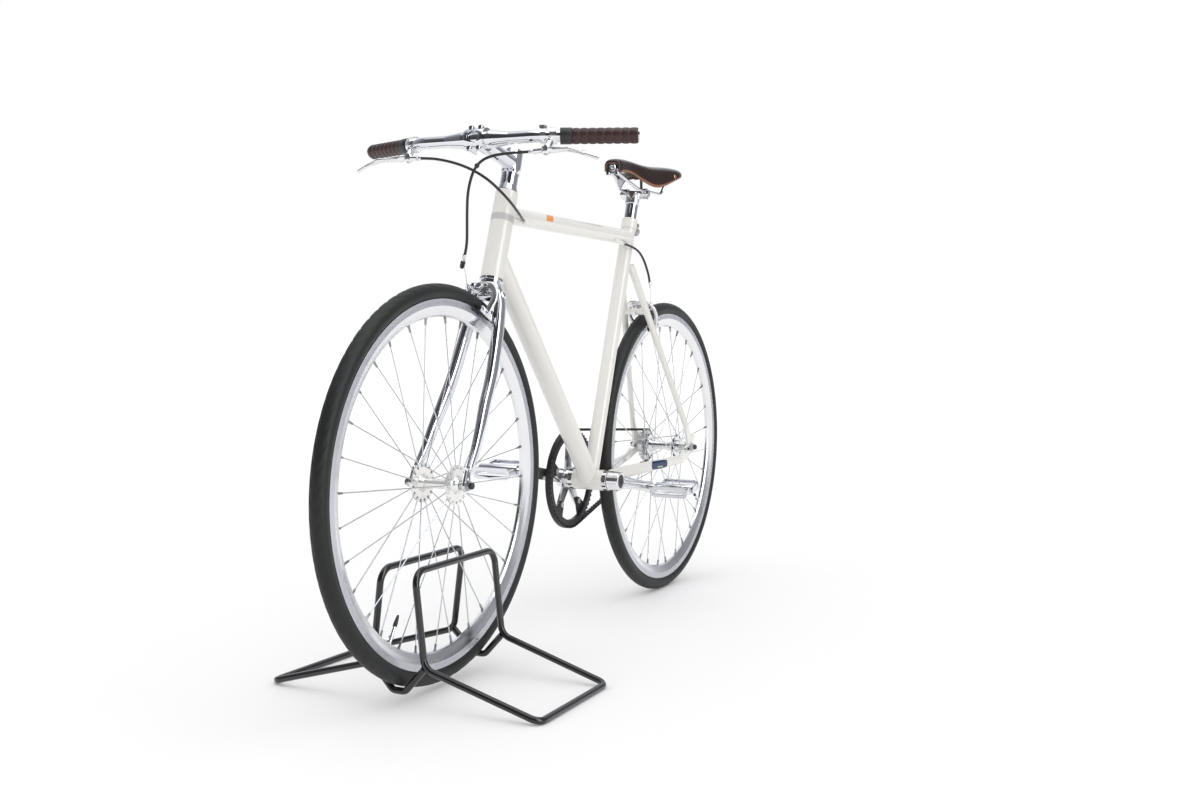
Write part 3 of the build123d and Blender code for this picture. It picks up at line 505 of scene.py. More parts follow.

# %% [markdown]
# The rear brake's first piece runs from the bar to the frame. Two stiff halves would tear apart when
# the bar turns, and a curve can't follow two bodies. So rings are set round its line and joined to a
# tube, which is attached to no body.

# %% Cable across the steering
line = line_of(crossing_route)
bm = bmesh.new()
SIDES = 12
rings = []
_, side, _ = frame_of(line[1] - line[0])
for i, point in enumerate(line):
    ahead = (line[min(i + 1, len(line) - 1)] - line[max(i - 1, 0)]).normalized()
    side = (side - ahead * side.dot(ahead)).normalized()
    up = ahead.cross(side)
    rings.append([point + (side * cos(2 * pi * k / SIDES) + up * sin(2 * pi * k / SIDES)) * CABLE / 2
                  for k in range(SIDES)])
add_loft(bm, rings)
crossing = piece("rear_brake_cable_front_housing", bm, housing_plastic, None)
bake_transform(crossing)
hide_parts("rear_brake_cable_front")
print("crossing cable", round(length_of(line), 4), "m")

# %% [markdown]
# ## Fork blades
# A chromed blade is a drawn oval tube, bent forward near its end and narrowed to the fork end. It could
# be a curve with a bevel, but mirror plate shows every facet and a curve's section can't change its
# shape. So it is swept as one smooth skin through a few stations, which need four helpers.

# %% Helpers for swept shapes
def along_stations(stations, share):
    """A smooth place between (point, wide, deep) stations, by the Catmull-Rom rule. Share runs 0 to 1."""
    place = share * (len(stations) - 1)
    i = min(int(place), len(stations) - 2)
    t = place - i
    rows = [stations[max(0, min(len(stations) - 1, k))] for k in (i - 1, i, i + 1, i + 2)]
    weights = (-t ** 3 + 2 * t * t - t, 3 * t ** 3 - 5 * t * t + 2, -3 * t ** 3 + 4 * t * t + t, t ** 3 - t * t)
    return [sum((row[k] * (w / 2) for row, w in zip(rows, weights)), rows[0][k] * 0) for k in range(3)]


def oval_ring(centre, ahead, side, wide, deep, steps=40, square=0.86):
    """Points of an oval section, a little squarer than an ellipse."""
    fore = ahead.cross(side).normalized()
    return [centre + side * x * wide / 2 + fore * y * deep / 2 for x, y in soft_oblong(steps, square)]


def heading_at(places, i):
    """The way a line of (point, ...) rows runs at one of them."""
    return (places[min(i + 1, len(places) - 1)][0] - places[max(i - 1, 0)][0]).normalized()


def on_head(distance, x=0.0):
    """A point at a distance along the steering axis from the middle of the head tube."""
    return HEAD_POINT + HEAD_LINE * distance + Vector((x, 0, 0))


print("middle of the head tube at", tuple(round(v, 4) for v in on_head(0)))

# %% [markdown]
# The stations run from the shoulder, where the blade leaves the crown, down to the fork end. The end
# itself is a flat rounded plate that takes the axle. The right blade is the left one mirrored.

# %% Fork blades
BLADE = [(on_head(-0.0925, 0.0085), 0.0150, 0.0270), (on_head(-0.1, 0.0135), 0.0170, 0.0280),
         (on_head(-0.111, 0.0195), 0.0186, 0.0275), (on_head(-0.128, 0.0252), 0.0188, 0.0260),
         (on_head(-0.155, 0.0292), 0.0187, 0.0250),
         (Vector((0.0335, -0.355, 0.59)), 0.0194, 0.025), (Vector((0.039, -0.383, 0.525)), 0.0194, 0.025),
         (Vector((0.0425, -0.41, 0.4776)), 0.019, 0.0245), (Vector((0.047, -0.433, 0.438)), 0.0172, 0.022),
         (Vector((0.0498, -0.454, 0.402)), 0.0148, 0.0185), (Vector((0.0522, -0.476, 0.373)), 0.0118, 0.0135)]
FORK_END_IN, FORK_END_OUT, PLATE_EDGE = 0.05, 0.055, 0.0008
SWEEP = 110
for name, hand in (("left_fork_blade", 1), ("right_fork_blade", -1)):
    mirror = Vector((hand, 1, 1))
    places = [along_stations(BLADE, i / SWEEP) for i in range(SWEEP + 1)]
    rings = []
    for i, (centre, wide, deep) in enumerate(places):
        heading = heading_at(places, i)
        side = (Vector((1, 0, 0)) - heading * heading.x).normalized()
        rings.append([p * mirror for p in oval_ring(centre, heading, side, wide, deep)])
    centre, wide, deep = places[-1]
    heading = (places[-1][0] - places[-2][0]).normalized()
    side = (Vector((1, 0, 0)) - heading * heading.x).normalized()
    for grown, share in ((0.002, 0.85), (0.0034, 0.45)):
        rings.append([p * mirror for p in oval_ring(centre + heading * grown, heading, side, wide * share,
                                                    deep * share)])
    bm = bmesh.new()
    add_loft(bm, rings)
    axle, top = FRONT_AXLE, FRONT_AXLE + Vector((0, 0.006, 0.021))
    outline = []
    lean = (top - axle).normalized()
    across = Vector((0, lean.z, -lean.y))
    for k in range(48):
        way = 2 * pi * k / 48
        middle, r = (top, 0.008) if sin(way) > 0 else (axle, 0.011)
        outline.append(middle + (across * cos(way) + lean * sin(way)) * r)
    plate_rings = []
    for x, inset in ((FORK_END_IN, PLATE_EDGE), (FORK_END_IN + PLATE_EDGE, 0), (FORK_END_OUT - PLATE_EDGE, 0),
                     (FORK_END_OUT, PLATE_EDGE)):
        plate_rings.append([((p + ((axle + top) / 2 - p).normalized() * inset) + Vector((x, 0, 0))) * mirror
                            for p in outline])
    add_loft(bm, plate_rings)
    blade = piece(name, bm, chrome, "steering", 50)
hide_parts("fork_blades")

# %% [markdown]
# ## Tyres
# A road tyre is a plain black carcass with fine cuts in its shoulders, which let water out. The section
# is most of a circle, closed by a flat base over the rim. The cuts could be a bump in the rubber, but
# pressed into the mesh they keep their depth when seen from the side.

# %% Tyres
TYRE_R, TYRE_MID, BEAD_R = 0.0145, 0.3235, 0.3125
ROUND, ACROSS, CUTS = 600, 34, 75
CUT_DEPTH, CUT_HALF, SHOULDER = 0.0009, 0.1, (0.22, 0.95)


def cut_depth(turn, angle):
    """How deep the tread is cut at a place round the wheel and round the section, in metres."""
    lean = abs(angle) * 0.9
    place_in_cut = (turn * CUTS / (2 * pi) + lean * 1.1 + (0.5 if angle > 0 else 0)) % 1.0
    cut_here = abs(place_in_cut - 0.5) < CUT_HALF and SHOULDER[0] < abs(angle) < SHOULDER[1]
    return CUT_DEPTH if cut_here else 0


def build_tyre(name, axle, body):
    bm = bmesh.new()
    reach = acos((BEAD_R - TYRE_MID) / TYRE_R)
    made = []
    for i in range(ROUND):
        turn = 2 * pi * i / ROUND
        ring = []
        for k in range(ACROSS + 1):
            angle = -reach + 2 * reach * k / ACROSS
            r = TYRE_R - cut_depth(turn, angle)
            ring.append(bm.verts.new(axle + Vector((sin(angle) * r, cos(turn) * (TYRE_MID + cos(angle) * r),
                                                    sin(turn) * (TYRE_MID + cos(angle) * r)))))
        made.append(ring)
    count = ACROSS + 1
    for i in range(ROUND):
        a, b = made[i], made[(i + 1) % ROUND]
        for k in range(count):
            j = (k + 1) % count
            bm.faces.new((a[k], a[j], b[j], b[k]))
    obj = piece(name + "_tread", bm, tyre_rubber, body, 50)
    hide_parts(name)


build_tyre("front_wheel_tyre", FRONT_AXLE, "front_wheel")
build_tyre("rear_wheel_tyre", REAR_AXLE, "rear_wheel")

# %% [markdown]
# ## Spoke ends
# Each spoke hooks through its flange with a bent end and a small head, and screws into a plated nipple
# at the rim. The front wheel's spokes run straight out from the inner faces of its flanges. The rear
# wheel's are crossed, because they pass on the pull of the belt. One helper gives each spoke's two
# ends.

# %% Spoke layout
RIM_INNER, FLANGE_X, SPOKES = 0.2825, 0.034, 32
CROSSING = radians(67.5)
# For each wheel: its axle, the radius of its flange's holes, whether its spokes cross, and its first spoke.
WHEELS = {"front_wheel": (FRONT_AXLE, 0.034, False, 0.74), "rear_wheel": (REAR_AXLE, 0.025, True, 0.47)}


def spoke_ends(axle, flange_r, crossed, phase):
    """For each spoke: its side, the way its head faces, and its line from hub to rim."""
    for i in range(SPOKES):
        side = 1 if i % 2 else -1
        at_rim = 2 * pi * (i + phase) / SPOKES
        if crossed:
            lean = 1 if i % 4 in (1, 2) else -1
            hole, start_x, start_r = at_rim + lean * CROSSING, FLANGE_X + lean * 0.002, flange_r + 0.0011
        else:
            lean, hole, start_x, start_r = -1, at_rim, FLANGE_X - 0.0027, flange_r - 0.0045
        inner = axle + Vector((side * start_x, cos(hole) * start_r, sin(hole) * start_r))
        reach = RIM_INNER - 0.0002
        outer = axle + Vector((side * 0.0012, cos(at_rim) * reach, sin(at_rim) * reach))
        yield side, lean, inner, outer


print(SPOKES, "spokes in each wheel")

# %% [markdown]
# The ends could be instances of one spoke, but all of a wheel's ends turn as one, so they are added to
# three meshes for each wheel: heads, nipples, and dark rings in the flange's holes, which are painted
# shade for the inside of each hole.

# %% Spoke heads and nipples
HOOK = [(-0.0009, 0.0008), (0.0002, 0.00125), (0.0042, 0.0012)]
HEAD = [(0.0014, 0.0018), (0.0024, 0.0019), (0.0031, 0.0012)]
HOLE_SHADE_RING = [(-0.0018, 0.0021), (0.0018, 0.0021)]
NIPPLE = [(0, 0.0027), (0.0028, 0.0027), (0.0034, 0.0021), (0.0118, 0.0019), (0.0128, 0.0013)]
for wheel, (axle, flange_r, crossed, phase) in WHEELS.items():
    heads, nipples, hole_shade = bmesh.new(), bmesh.new(), bmesh.new()
    for side, lean, inner, outer in spoke_ends(axle, flange_r, crossed, phase):
        inward = (inner - outer).normalized()
        elbow = inner + inward * (0.007 if crossed else 0.0)
        outside = Vector((-side * lean, 0, 0))           # the side of the flange where the head sits
        add_turned(heads, elbow, -inward, [(-0.0004, 0.001), ((elbow - inner).length + 0.0015, 0.001)], 8)
        through = elbow + Vector((side * FLANGE_X - elbow.x + axle.x, 0, 0))
        add_turned(heads, elbow, outside, HOOK, 8)
        add_turned(heads, through, outside, HEAD, 12)
        # a dark ring in the flange's hole: painted shade
        add_turned(hole_shade, through, outside, HOLE_SHADE_RING, 12)
        add_turned(nipples, outer - inward * 0.001, inward, NIPPLE, 8)
    piece(wheel + "_spoke_heads", heads, spoke_steel, wheel)
    piece(wheel + "_nipples", nipples, nipple_brass, wheel)
    piece(wheel + "_hole_shade_rings", hole_shade, black_plastic, wheel)

# %% [markdown]
# A tube's valve stands in a hole of each rim, halfway between two spokes, with a ring part way down its
# thread and a black cap on its tip. Both are turned on the real wheel, so two profiles make them.

# %% Valves
STEM_PROFILE = [(0, 0.0028), (0.0095, 0.0028), (0.0097, 0.0045), (0.0135, 0.0045), (0.0137, 0.0026), (0.031, 0.0026)]
CAP_PROFILE = [(0, 0.003), (0.001, 0.0036), (0.006, 0.0036), (0.015, 0.0026), (0.0195, 0.0017), (0.02, 0.001)]
for wheel, axle, angle in (("front_wheel", FRONT_AXLE, -10.76), ("rear_wheel", REAR_AXLE, -3.03)):
    turn = 2 * pi * angle / SPOKES
    inward = -Vector((0, cos(turn), sin(turn)))
    base = axle - inward * (RIM_INNER + 0.001)
    stem, cap = bmesh.new(), bmesh.new()
    add_turned(stem, base, inward, STEM_PROFILE, 14)
    add_turned(cap, base + inward * 0.0295, inward, CAP_PROFILE, 14)
    piece(wheel + "_valve", stem, alloy, wheel)
    piece(wheel + "_valve_cap", cap, black_plastic, wheel)

# %% [markdown]
# ## Grips
# Each grip is a strip of leather wound and sewn over foam, so it has shallow round ribs. A spiral could
# be modelled, but the turns lie so close that plain ribs look the same. A lathe profile with one
# swelling for each rib gives the shape, and a raised seam runs along its underside.

# %% Grips
BEND = Vector((0.114, -0.3656, 0.9397))
BAR_END = Vector((0.275, -0.2933, 0.9424))
along_bar = (BAR_END - BEND).normalized()
GRIP_START, GRIP_END = 0.063, (BAR_END - BEND).length
RIBS, RIB_STEPS, GRIP_SIDES = 8, 8, 40
GRIP_R, RIB_HEIGHT, GRIP_END_R, GRIP_BORE_R, SEAM = 0.0122, 0.0014, 0.0124, 0.0111, 0.0006
for name, hand in (("left_grip", 1), ("right_grip", -1)):
    mirror = Vector((hand, 1, 1))
    origin, axis = BEND * mirror, along_bar * mirror
    _, side, up = frame_of(axis)
    down = Vector((0, 0, -1))
    bm = bmesh.new()
    rings = []
    total = RIBS * RIB_STEPS
    for i in range(total + 1):
        place_in_rib = (i % RIB_STEPS) / RIB_STEPS
        along = GRIP_START + (GRIP_END - GRIP_START) * i / total
        swell = GRIP_R + RIB_HEIGHT * abs(sin(pi * place_in_rib)) ** 0.5
        if i in (0, total):
            swell = GRIP_END_R
        ring = []
        for k in range(GRIP_SIDES):
            way = side * cos(2 * pi * k / GRIP_SIDES) + up * sin(2 * pi * k / GRIP_SIDES)
            seam = SEAM if way.dot(down) > 0.975 else 0
            ring.append(origin + axis * along + way * (swell + seam))
        rings.append(ring)
    inner = [[origin + axis * along + (p - origin - axis * along).normalized() * GRIP_BORE_R for p in ring]
             for along, ring in ((GRIP_START, rings[0]), (GRIP_END, rings[-1]))]
    made = add_loft(bm, [inner[0]] + rings + [inner[1]], caps=False)
    for i in range(GRIP_SIDES):
        j = (i + 1) % GRIP_SIDES
        bm.faces.new((made[0][i], made[0][j], made[-1][j], made[-1][i]))
    grip = piece(name + "_leather", bm, grip_leather, "steering", 60)
    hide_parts(name)

# %% [markdown]
# ## Saddle
# A leather saddle is one thick hide, stretched between a nose plate and a cantle plate and held with
# copper rivets. A cloth simulation would let it sag, and this hide is stiff, so it is built from
# sections. Each goes up one skirt, over the crown and down the other.

# %% Saddle sections
# Stations from nose to tail: the place along Y, the half width, and the skirt's and the crown's heights.
STATIONS = [(0.1848, 0.0150, 0.9520, 0.9675), (0.1856, 0.0172, 0.9500, 0.9708), (0.1885, 0.0190, 0.9490, 0.9748),
            (0.1950, 0.0202, 0.9480, 0.9772), (0.2120, 0.0208, 0.9495, 0.9785), (0.2260, 0.0215, 0.9510, 0.9790),
            (0.2520, 0.0240, 0.9480, 0.9790), (0.2750, 0.0310, 0.9380, 0.9770), (0.2980, 0.0390, 0.9300, 0.9762),
            (0.3220, 0.0465, 0.9250, 0.9762), (0.3460, 0.0550, 0.9300, 0.9775), (0.3700, 0.0630, 0.9405, 0.9795),
            (0.3980, 0.0695, 0.9520, 0.9818), (0.4140, 0.0690, 0.9570, 0.9818), (0.4260, 0.0640, 0.9600, 0.9806),
            (0.4350, 0.0560, 0.9630, 0.9785), (0.4410, 0.0450, 0.9655, 0.9755)]
EDGE_BAND, ARC_STEPS, HIDE_THICK = 0.0038, 20, 0.0038


def hide_section(y, wide, low, top):
    """Points across the saddle: up one skirt, over the crown, and down the other. The tail is rounder."""
    tail = min(max((y - 0.37) / 0.06, 0), 1)
    points = [Vector((-wide * 0.975, y, low)), Vector((-wide, y, low + min(EDGE_BAND, (top - low) * 0.3)))]
    start = points[1].z
    for k in range(1, ARC_STEPS):
        turn = pi * k / ARC_STEPS
        across, up = -cos(turn), sin(turn)
        x = wide * (abs(across) ** (0.7 + 0.25 * tail)) * (1 if across > 0 else -1)
        points.append(Vector((x, y, start + (top - start) * up ** (0.45 + 0.3 * tail))))
    return points + [Vector((wide, y, start)), Vector((wide * 0.975, y, low))]


print(len(STATIONS), "saddle sections")

# %% [markdown]
# The sections are joined to an open skin, which one modifier thickens and another smooths. The lowest
# strip of each skirt and the nose's front edge are bevelled, which bares the tan inside of the hide, so
# those faces take the tan finish.

# %% Saddle hide
bm = bmesh.new()
skin = [[bm.verts.new(p) for p in hide_section(*station)] for station in STATIONS]
last = len(skin[0]) - 2
for row, (a, b) in enumerate(zip(skin, skin[1:])):
    for k in range(last + 1):
        face = bm.faces.new((a[k], a[k + 1], b[k + 1], b[k]))
        face.material_index = 1 if k in (0, last) and 2 < row < len(skin) - 3 else 0
hide = piece("saddle_hide", bm, [saddle_leather, edge_leather], "frame", 180)
thick = hide.modifiers.new("thickness", "SOLIDIFY")
thick.thickness, thick.offset = HIDE_THICK, -1
thick.material_offset_rim = 1
smooth = hide.modifiers.new("smooth", "SUBSURF")
smooth.levels = smooth.render_levels = 2
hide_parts("saddle_leather")

# %% [markdown]
# Copper rivets hold the hide to the cantle plate behind and the nose plate in front. Their places could
# be typed in, but the smoothed hide isn't where its sections are. So each is found by a ray from
# outside: it sits on the hide and faces the way the hide does.

# %% Rivets
def surface_hit(obj, start, towards):
    """Where a ray meets an object's finished surface, and the way the surface faces there."""
    evaluated = obj.evaluated_get(bpy.context.evaluated_depsgraph_get())
    hit, point, normal, _ = evaluated.ray_cast(Vector(start), (Vector(towards) - Vector(start)).normalized())
    assert hit, (obj.name, tuple(start))
    return point, normal


RIVET = [(-0.001, 0.0042), (0.0004, 0.0042), (0.0012, 0.0034), (0.0016, 0.0018)]
bm = bmesh.new()
RIVETS = [((0.2, 0.375, 0.957), (0.0, 0.385, 0.957)), ((0.06, 0.6, 0.972), (0.03, 0.4, 0.972)),
          ((0.02, 0.6, 0.972), (0.01, 0.4, 0.972))]
for start, towards in RIVETS:
    for hand in (1, -1):
        mirror = Vector((hand, 1, 1))
        point, normal = surface_hit(hide, Vector(start) * mirror, Vector(towards) * mirror)
        add_turned(bm, point, normal, RIVET, 18)
piece("saddle_rivets", bm, copper, "frame")

# %% [markdown]
# ## Saddle fittings
# The nose plate is pulled forward by a long bolt, whose round nut shows under the nose. Turning it
# stretches the hide. Two small bolts below it hold the front of the rails. All three are turned, so
# profiles make them.

# %% Nose bolt
NOSE = Vector((0, 0.1868, 0.9575))
FORWARD = Vector((0, -1, 0))
NUT = [(0, 0.0082), (0.0045, 0.0082), (0.0054, 0.0074), (0.0056, 0.0052), (0.0042, 0.0046), (0.0040, 0.0034),
       (0.0058, 0.003), (0.0066, 0.0018)]
RAIL_BOLT = [(-0.004, 0.0042), (0.0045, 0.0042), (0.0054, 0.0034)]
bm = bmesh.new()
add_turned(bm, NOSE + FORWARD * -0.004, FORWARD, NUT, 32)
for hand in (1, -1):
    add_turned(bm, Vector((hand * 0.0105, 0.192, 0.9455)), FORWARD, RAIL_BOLT, 20)
piece("nose_bolt", bm, chrome, "frame")

# %% [markdown]
# ## Left crank
# A forged crank narrows from its boss to the pedal's eye and has no flat sides. A bevelled box would
# keep flat faces, so the arm is lofted from soft oblong sections. A turned boss and the pedal's pin are
# added to the same piece.

# %% Left crank
CRANK_IN, CRANK_OUT, CRANK_LENGTH, PEDAL_PIN_R = 0.058, 0.071, 0.17, 0.005
drop = radians(10.0)
down_crank = Vector((0, cos(drop), -sin(drop)))
square_to_crank = Vector((0, sin(drop), cos(drop)))
pedal_eye = CRANK_AXLE + down_crank * CRANK_LENGTH
OUTWARD = Vector((1, 0, 0))
AXLE_MIDDLE = Vector((0, CRANK_AXLE.y, CRANK_AXLE.z))
BOSS = [(0.045, 0.0192), (0.0458, 0.02), (0.0695, 0.02), (0.0706, 0.0192), (0.071, 0.018), (0.071, 0.0142),
        (0.0696, 0.0138)]
# Along the arm: the distance from the axle, the width and the thickness.
ARM = [(0.0165, 0.0300, 0.0130), (0.024, 0.0306, 0.0130), (0.038, 0.0280, 0.0130), (0.056, 0.0250, 0.0128),
       (0.085, 0.0228, 0.0124), (0.118, 0.0216, 0.0122), (0.142, 0.0222, 0.0125), (0.158, 0.0246, 0.0128),
       (0.170, 0.0254, 0.0130), (0.178, 0.0210, 0.0126), (0.1815, 0.0130, 0.0112), (0.1828, 0.0040, 0.0080)]
PEDAL_PIN = [(CRANK_OUT - 0.001, 0.0078), (CRANK_OUT + 0.0006, 0.0078), (CRANK_OUT + 0.0008, 0.007),
             (CRANK_OUT + 0.008, 0.007), (CRANK_OUT + 0.0082, PEDAL_PIN_R), (0.167, PEDAL_PIN_R),
             (0.1672, 0.008), (0.1688, 0.008), (0.169, 0.0074)]
bm = bmesh.new()
add_turned(bm, AXLE_MIDDLE, OUTWARD, BOSS, 64)
rings = []
for distance, wide, thick_arm in ARM:
    centre = CRANK_AXLE + down_crank * distance + OUTWARD * (CRANK_IN + CRANK_OUT) / 2
    rings.append([centre + square_to_crank * a * wide / 2 + OUTWARD * b * thick_arm / 2
                  for a, b in soft_oblong(40, 0.62)])
add_loft(bm, rings)
add_turned(bm, pedal_eye, OUTWARD, PEDAL_PIN, 32)
left_crank = piece("left_crank_arm", bm, alloy, "crankset", 30)
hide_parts("left_crank")

# %% [markdown]
# The cap is a shallow dish in the boss. Round each bearing cup there are twelve notches, which a
# spanner's teeth fit. Each is a dark round that is painted shade for the inside of the notch.

# %% Crank cap, and painted shade in the cup notches
CRANK_CAP = [(0.0690, 0.0141), (0.0704, 0.0141), (0.0708, 0.0132), (0.0706, 0.0062), (0.0698, 0.0058)]
CUP_AT, CUP_R, NOTCH_R, NOTCHES = 0.0358, 0.0206, 0.0019, 12
NOTCH_SHADE = [(0, NOTCH_R * 0.9), (0.0003, NOTCH_R), (0.0066, NOTCH_R), (0.0069, NOTCH_R * 0.9)]
bm = bmesh.new()
add_turned(bm, AXLE_MIDDLE, OUTWARD, CRANK_CAP, 48)
piece("crank_cap", bm, black_plastic, "crankset")
bm = bmesh.new()
for side in (1, -1):
    for k in range(NOTCHES):
        turn = 2 * pi * k / NOTCHES
        notch = CRANK_AXLE + Vector((side * CUP_AT, cos(turn) * CUP_R, sin(turn) * CUP_R))
        # a dark round in place of the notch: painted shade
        add_turned(bm, notch, OUTWARD * side, NOTCH_SHADE, 10)
piece("cup_notch_shade", bm, black_plastic, "frame")

# %% [markdown]
# ## Bolts
# Small bolts hold the stem's faceplate, the stem on its steerer, and the levers with their clamps. Each
# has a domed head with a hexagonal socket. The socket could be cut out, but at this size a dark hexagon
# in the head, painted shade for the socket's hollow, looks the same and keeps the mesh closed, so a
# helper adds both at once.

# %% Helper for bolts
def add_bolt(heads, socket_shade, at, facing, radius, height):
    """A domed bolt head, and a dark hexagon in it that is painted shade for its socket."""
    add_turned(heads, at, facing, [(-0.001, radius), (height * 0.7, radius), (height * 0.92, radius * 0.86),
                                   (height, radius * 0.62)], 20)
    add_turned(socket_shade, at, facing, [(height * 0.5, radius * 0.5), (height + 0.00015, radius * 0.5)], 6)


print("helper ready: add_bolt")

# %% [markdown]
# Each bolt is set from the piece that it holds: the bar's middle, the steering axis, the levers'
# pivots. So it faces the way a hex key would come from.

# %% Steering bolts
BAR_MIDDLE = Vector((0, BEND.y, BEND.z))
STEM_UP, STEM_AT = 0.021, 0.1408
reach = (BAR_MIDDLE - on_head(STEM_AT)).normalized()
square_to_stem = reach.cross(OUTWARD)
steering_bolts, steering_shade_hexes = bmesh.new(), bmesh.new()
for x in (-0.0095, 0.0095):
    for v in (-0.0185, 0.0185):
        add_bolt(steering_bolts, steering_shade_hexes, BAR_MIDDLE + OUTWARD * x + square_to_stem * v + reach * 0.011, reach,
                 0.0042, 0.0035)
backward = HEAD_LINE.cross(OUTWARD)
backward = backward if backward.y > 0 else -backward
for v in (-0.012, 0.012):
    add_bolt(steering_bolts, steering_shade_hexes, on_head(STEM_AT + v) + backward * 0.0172, backward, 0.004, 0.0035)
add_bolt(steering_bolts, steering_shade_hexes, on_head(STEM_AT + STEM_UP + 0.004), HEAD_LINE, 0.0052, 0.0022)
LEVER_PIVOT = Vector((0.1396, -0.3742, 0.9138))
for hand in (1, -1):
    mirror = Vector((hand, 1, 1))
    for way in (1, -1):
        add_bolt(steering_bolts, steering_shade_hexes, LEVER_PIVOT * mirror + Vector((0, 0, way * 0.006)), (0, 0, way),
                 0.0048, 0.0022)
    clamp = (BEND + along_bar * 0.031) * mirror
    forward_down = Vector((0, -0.9, -0.43)).normalized()
    add_bolt(steering_bolts, steering_shade_hexes, clamp + forward_down * 0.0142, forward_down, 0.0044, 0.0036)
piece("steering_bolts", steering_bolts, chrome, "steering")
# the dark hexagons are painted shade in the bolts' sockets
piece("steering_shade_hexes", steering_shade_hexes, black_plastic, "steering")

# %% [markdown]
# The hollow ends of both axles are closed with small black caps.

# %% Axle caps
CAP = [(0, 0.0056), (0.004, 0.0056), (0.005, 0.0044)]
for name, axle, half, body in (("rear_axle_caps", REAR_AXLE, 0.079, "frame"),
                               ("front_axle_caps", FRONT_AXLE, 0.0622, "steering")):
    bm = bmesh.new()
    for side in (1, -1):
        add_turned(bm, axle + OUTWARD * side * half, OUTWARD * side, CAP, 20)
    piece(name, bm, black_plastic, body)

# %% [markdown]
# ## Brake calipers
# A rim brake's two arms are forged, with soft domed faces, and lie one in front of the other on a
# shared bolt. Flat plates with rounded edges would look stamped, so each arm is an oval section swept
# along its bent middle line and rounded off at both ends.

# %% Helper for caliper arms
ARM_THICK = 0.0072


def add_arm(bm, stations, outward):
    """A domed forging along (point, half width, thickness) stations, rounded at both ends."""
    count = 44
    places = [along_stations(stations, i / count) for i in range(count + 1)]
    rows = [(centre, heading_at(places, i), half, thick) for i, (centre, half, thick) in enumerate(places)]
    first, final = rows[0], rows[-1]
    starts = [(first[0] - first[1] * first[2] * out, first[1], first[2] * size, first[3] * size) for out, size in
              ((0.95, 0.3), (0.75, 0.66), (0.4, 0.92))]
    ends = [(final[0] + final[1] * final[2] * out, final[1], final[2] * size, final[3] * size) for out, size in
            ((0.4, 0.92), (0.75, 0.66), (0.95, 0.3))]
    rings = []
    for centre, heading, half, thick in starts + rows + ends:
        across = outward.cross(heading).normalized()
        rings.append([centre + across * a * half + outward * b * thick / 2 for a, b in soft_oblong(28, 0.8, 0.72)])
    add_loft(bm, rings)


print("helper ready: add_arm")

# %% [markdown]
# A nut and washers close the shared bolt. The bare wire comes down from the adjuster to a barrel on the
# upper arm, and each pad sits in a bright holder with its own bolt. Both brakes are alike, so one
# helper builds a caliper from its bolt, its two directions and the end of its cable.

# %% Caliper with its fittings
# Round one arm from its short end to its pad: across, towards the wheel, half width.
ARM_SPOTS = ((-0.013, -0.002, 0.0072), (0, 0, 0.0102), (0.014, -0.0025, 0.0088), (0.024, -0.001, 0.0078),
             (0.0325, 0.009, 0.0068), (0.0342, 0.024, 0.0062), (0.031, 0.038, 0.0058), (0.0262, 0.050, 0.0062))
LOCK_NUT = [(0, 0.0078), (0.0012, 0.0078), (0.0014, 0.006), (0.0036, 0.006), (0.0044, 0.0052)]
HOLDER_ENDS = ((-0.0215, 0.6), (-0.0205, 0.9), (-0.018, 1), (0.018, 1), (0.0205, 0.9), (0.0215, 0.6))


def build_caliper(name, origin, inward, outward, adjuster, behind, body):
    """Both arms, their bolts, the bare wire and the pads' holders. Behind is the bolt's length behind the arms."""
    def at_brake(x, v, w):
        return origin + OUTWARD * x + inward * v + outward * w

    hand = 1 if adjuster.x > 0 else -1
    arms, fittings, socket_shade, holders = (bmesh.new() for _ in range(4))
    for side, w in ((hand, 0.0251), (-hand, 0.0325)):
        add_arm(arms, [(at_brake(side * x, v, w), half, ARM_THICK) for x, v, half in ARM_SPOTS], outward)
        add_bolt(fittings, socket_shade, at_brake(side * 0.0262, 0.05, w + 0.0034), outward, 0.0036, 0.0016)
    add_turned(fittings, at_brake(0, 0, -behind - 0.004), outward,
               [(0, 0.0055), (0.004, 0.0055), (0.0042, 0.003), (behind + 0.04, 0.003)], 24)
    add_turned(fittings, at_brake(0, 0, 0.036), outward, LOCK_NUT, 6)
    add_turned(fittings, at_brake(0, 0, 0.018), outward, [(0, 0.009), (0.0036, 0.009)], 28)
    add_bolt(fittings, socket_shade, at_brake(hand * 0.013, -0.002, 0.0361), outward, 0.0046, 0.0034)
    clamp = at_brake(hand * 0.028, 0.004, 0.025)
    bare_wire = adjuster - clamp
    add_turned(fittings, clamp, bare_wire, [(-0.004, 0.0040), (0.009, 0.0040), (0.0094, 0.0034), (0.0135, 0.0034),
                                            (0.0138, 0.0009), (bare_wire.length, 0.0009)], 20)
    add_bolt(fittings, socket_shade, at_brake(-hand * 0.013, -0.002, 0.0362), outward, 0.0034, 0.002)
    for side in (-1, 1):
        middle = at_brake(side * 0.0252, 0.0505, 0.029)
        rings = [[middle + outward * along + OUTWARD * a * 0.0022 * size + inward * b * 0.0056 * size
                  for a, b in soft_oblong(24, 0.45)] for along, size in HOLDER_ENDS]
        add_loft(holders, rings)
        add_bolt(fittings, socket_shade, at_brake(side * 0.0318, 0.05, 0.029), OUTWARD * side, 0.0044, 0.0026)
    arms_piece = piece(name + "_caliper_arms", arms, alloy, body, 40)
    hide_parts(name + "_brake_caliper")
    piece(name + "_caliper_fittings", fittings, chrome, body)
    # the dark hexagons are painted shade in the caliper bolts' sockets
    piece(name + "_caliper_shade_hexes", socket_shade, black_plastic, body)
    piece(name + "_pad_holders", holders, alloy, body)


print("helper ready: build_caliper")

# %% [markdown]
# The front caliper hangs on the fork's crown and the rear one on the bridge between the seat stays.
# Each faces its own wheel's axle.

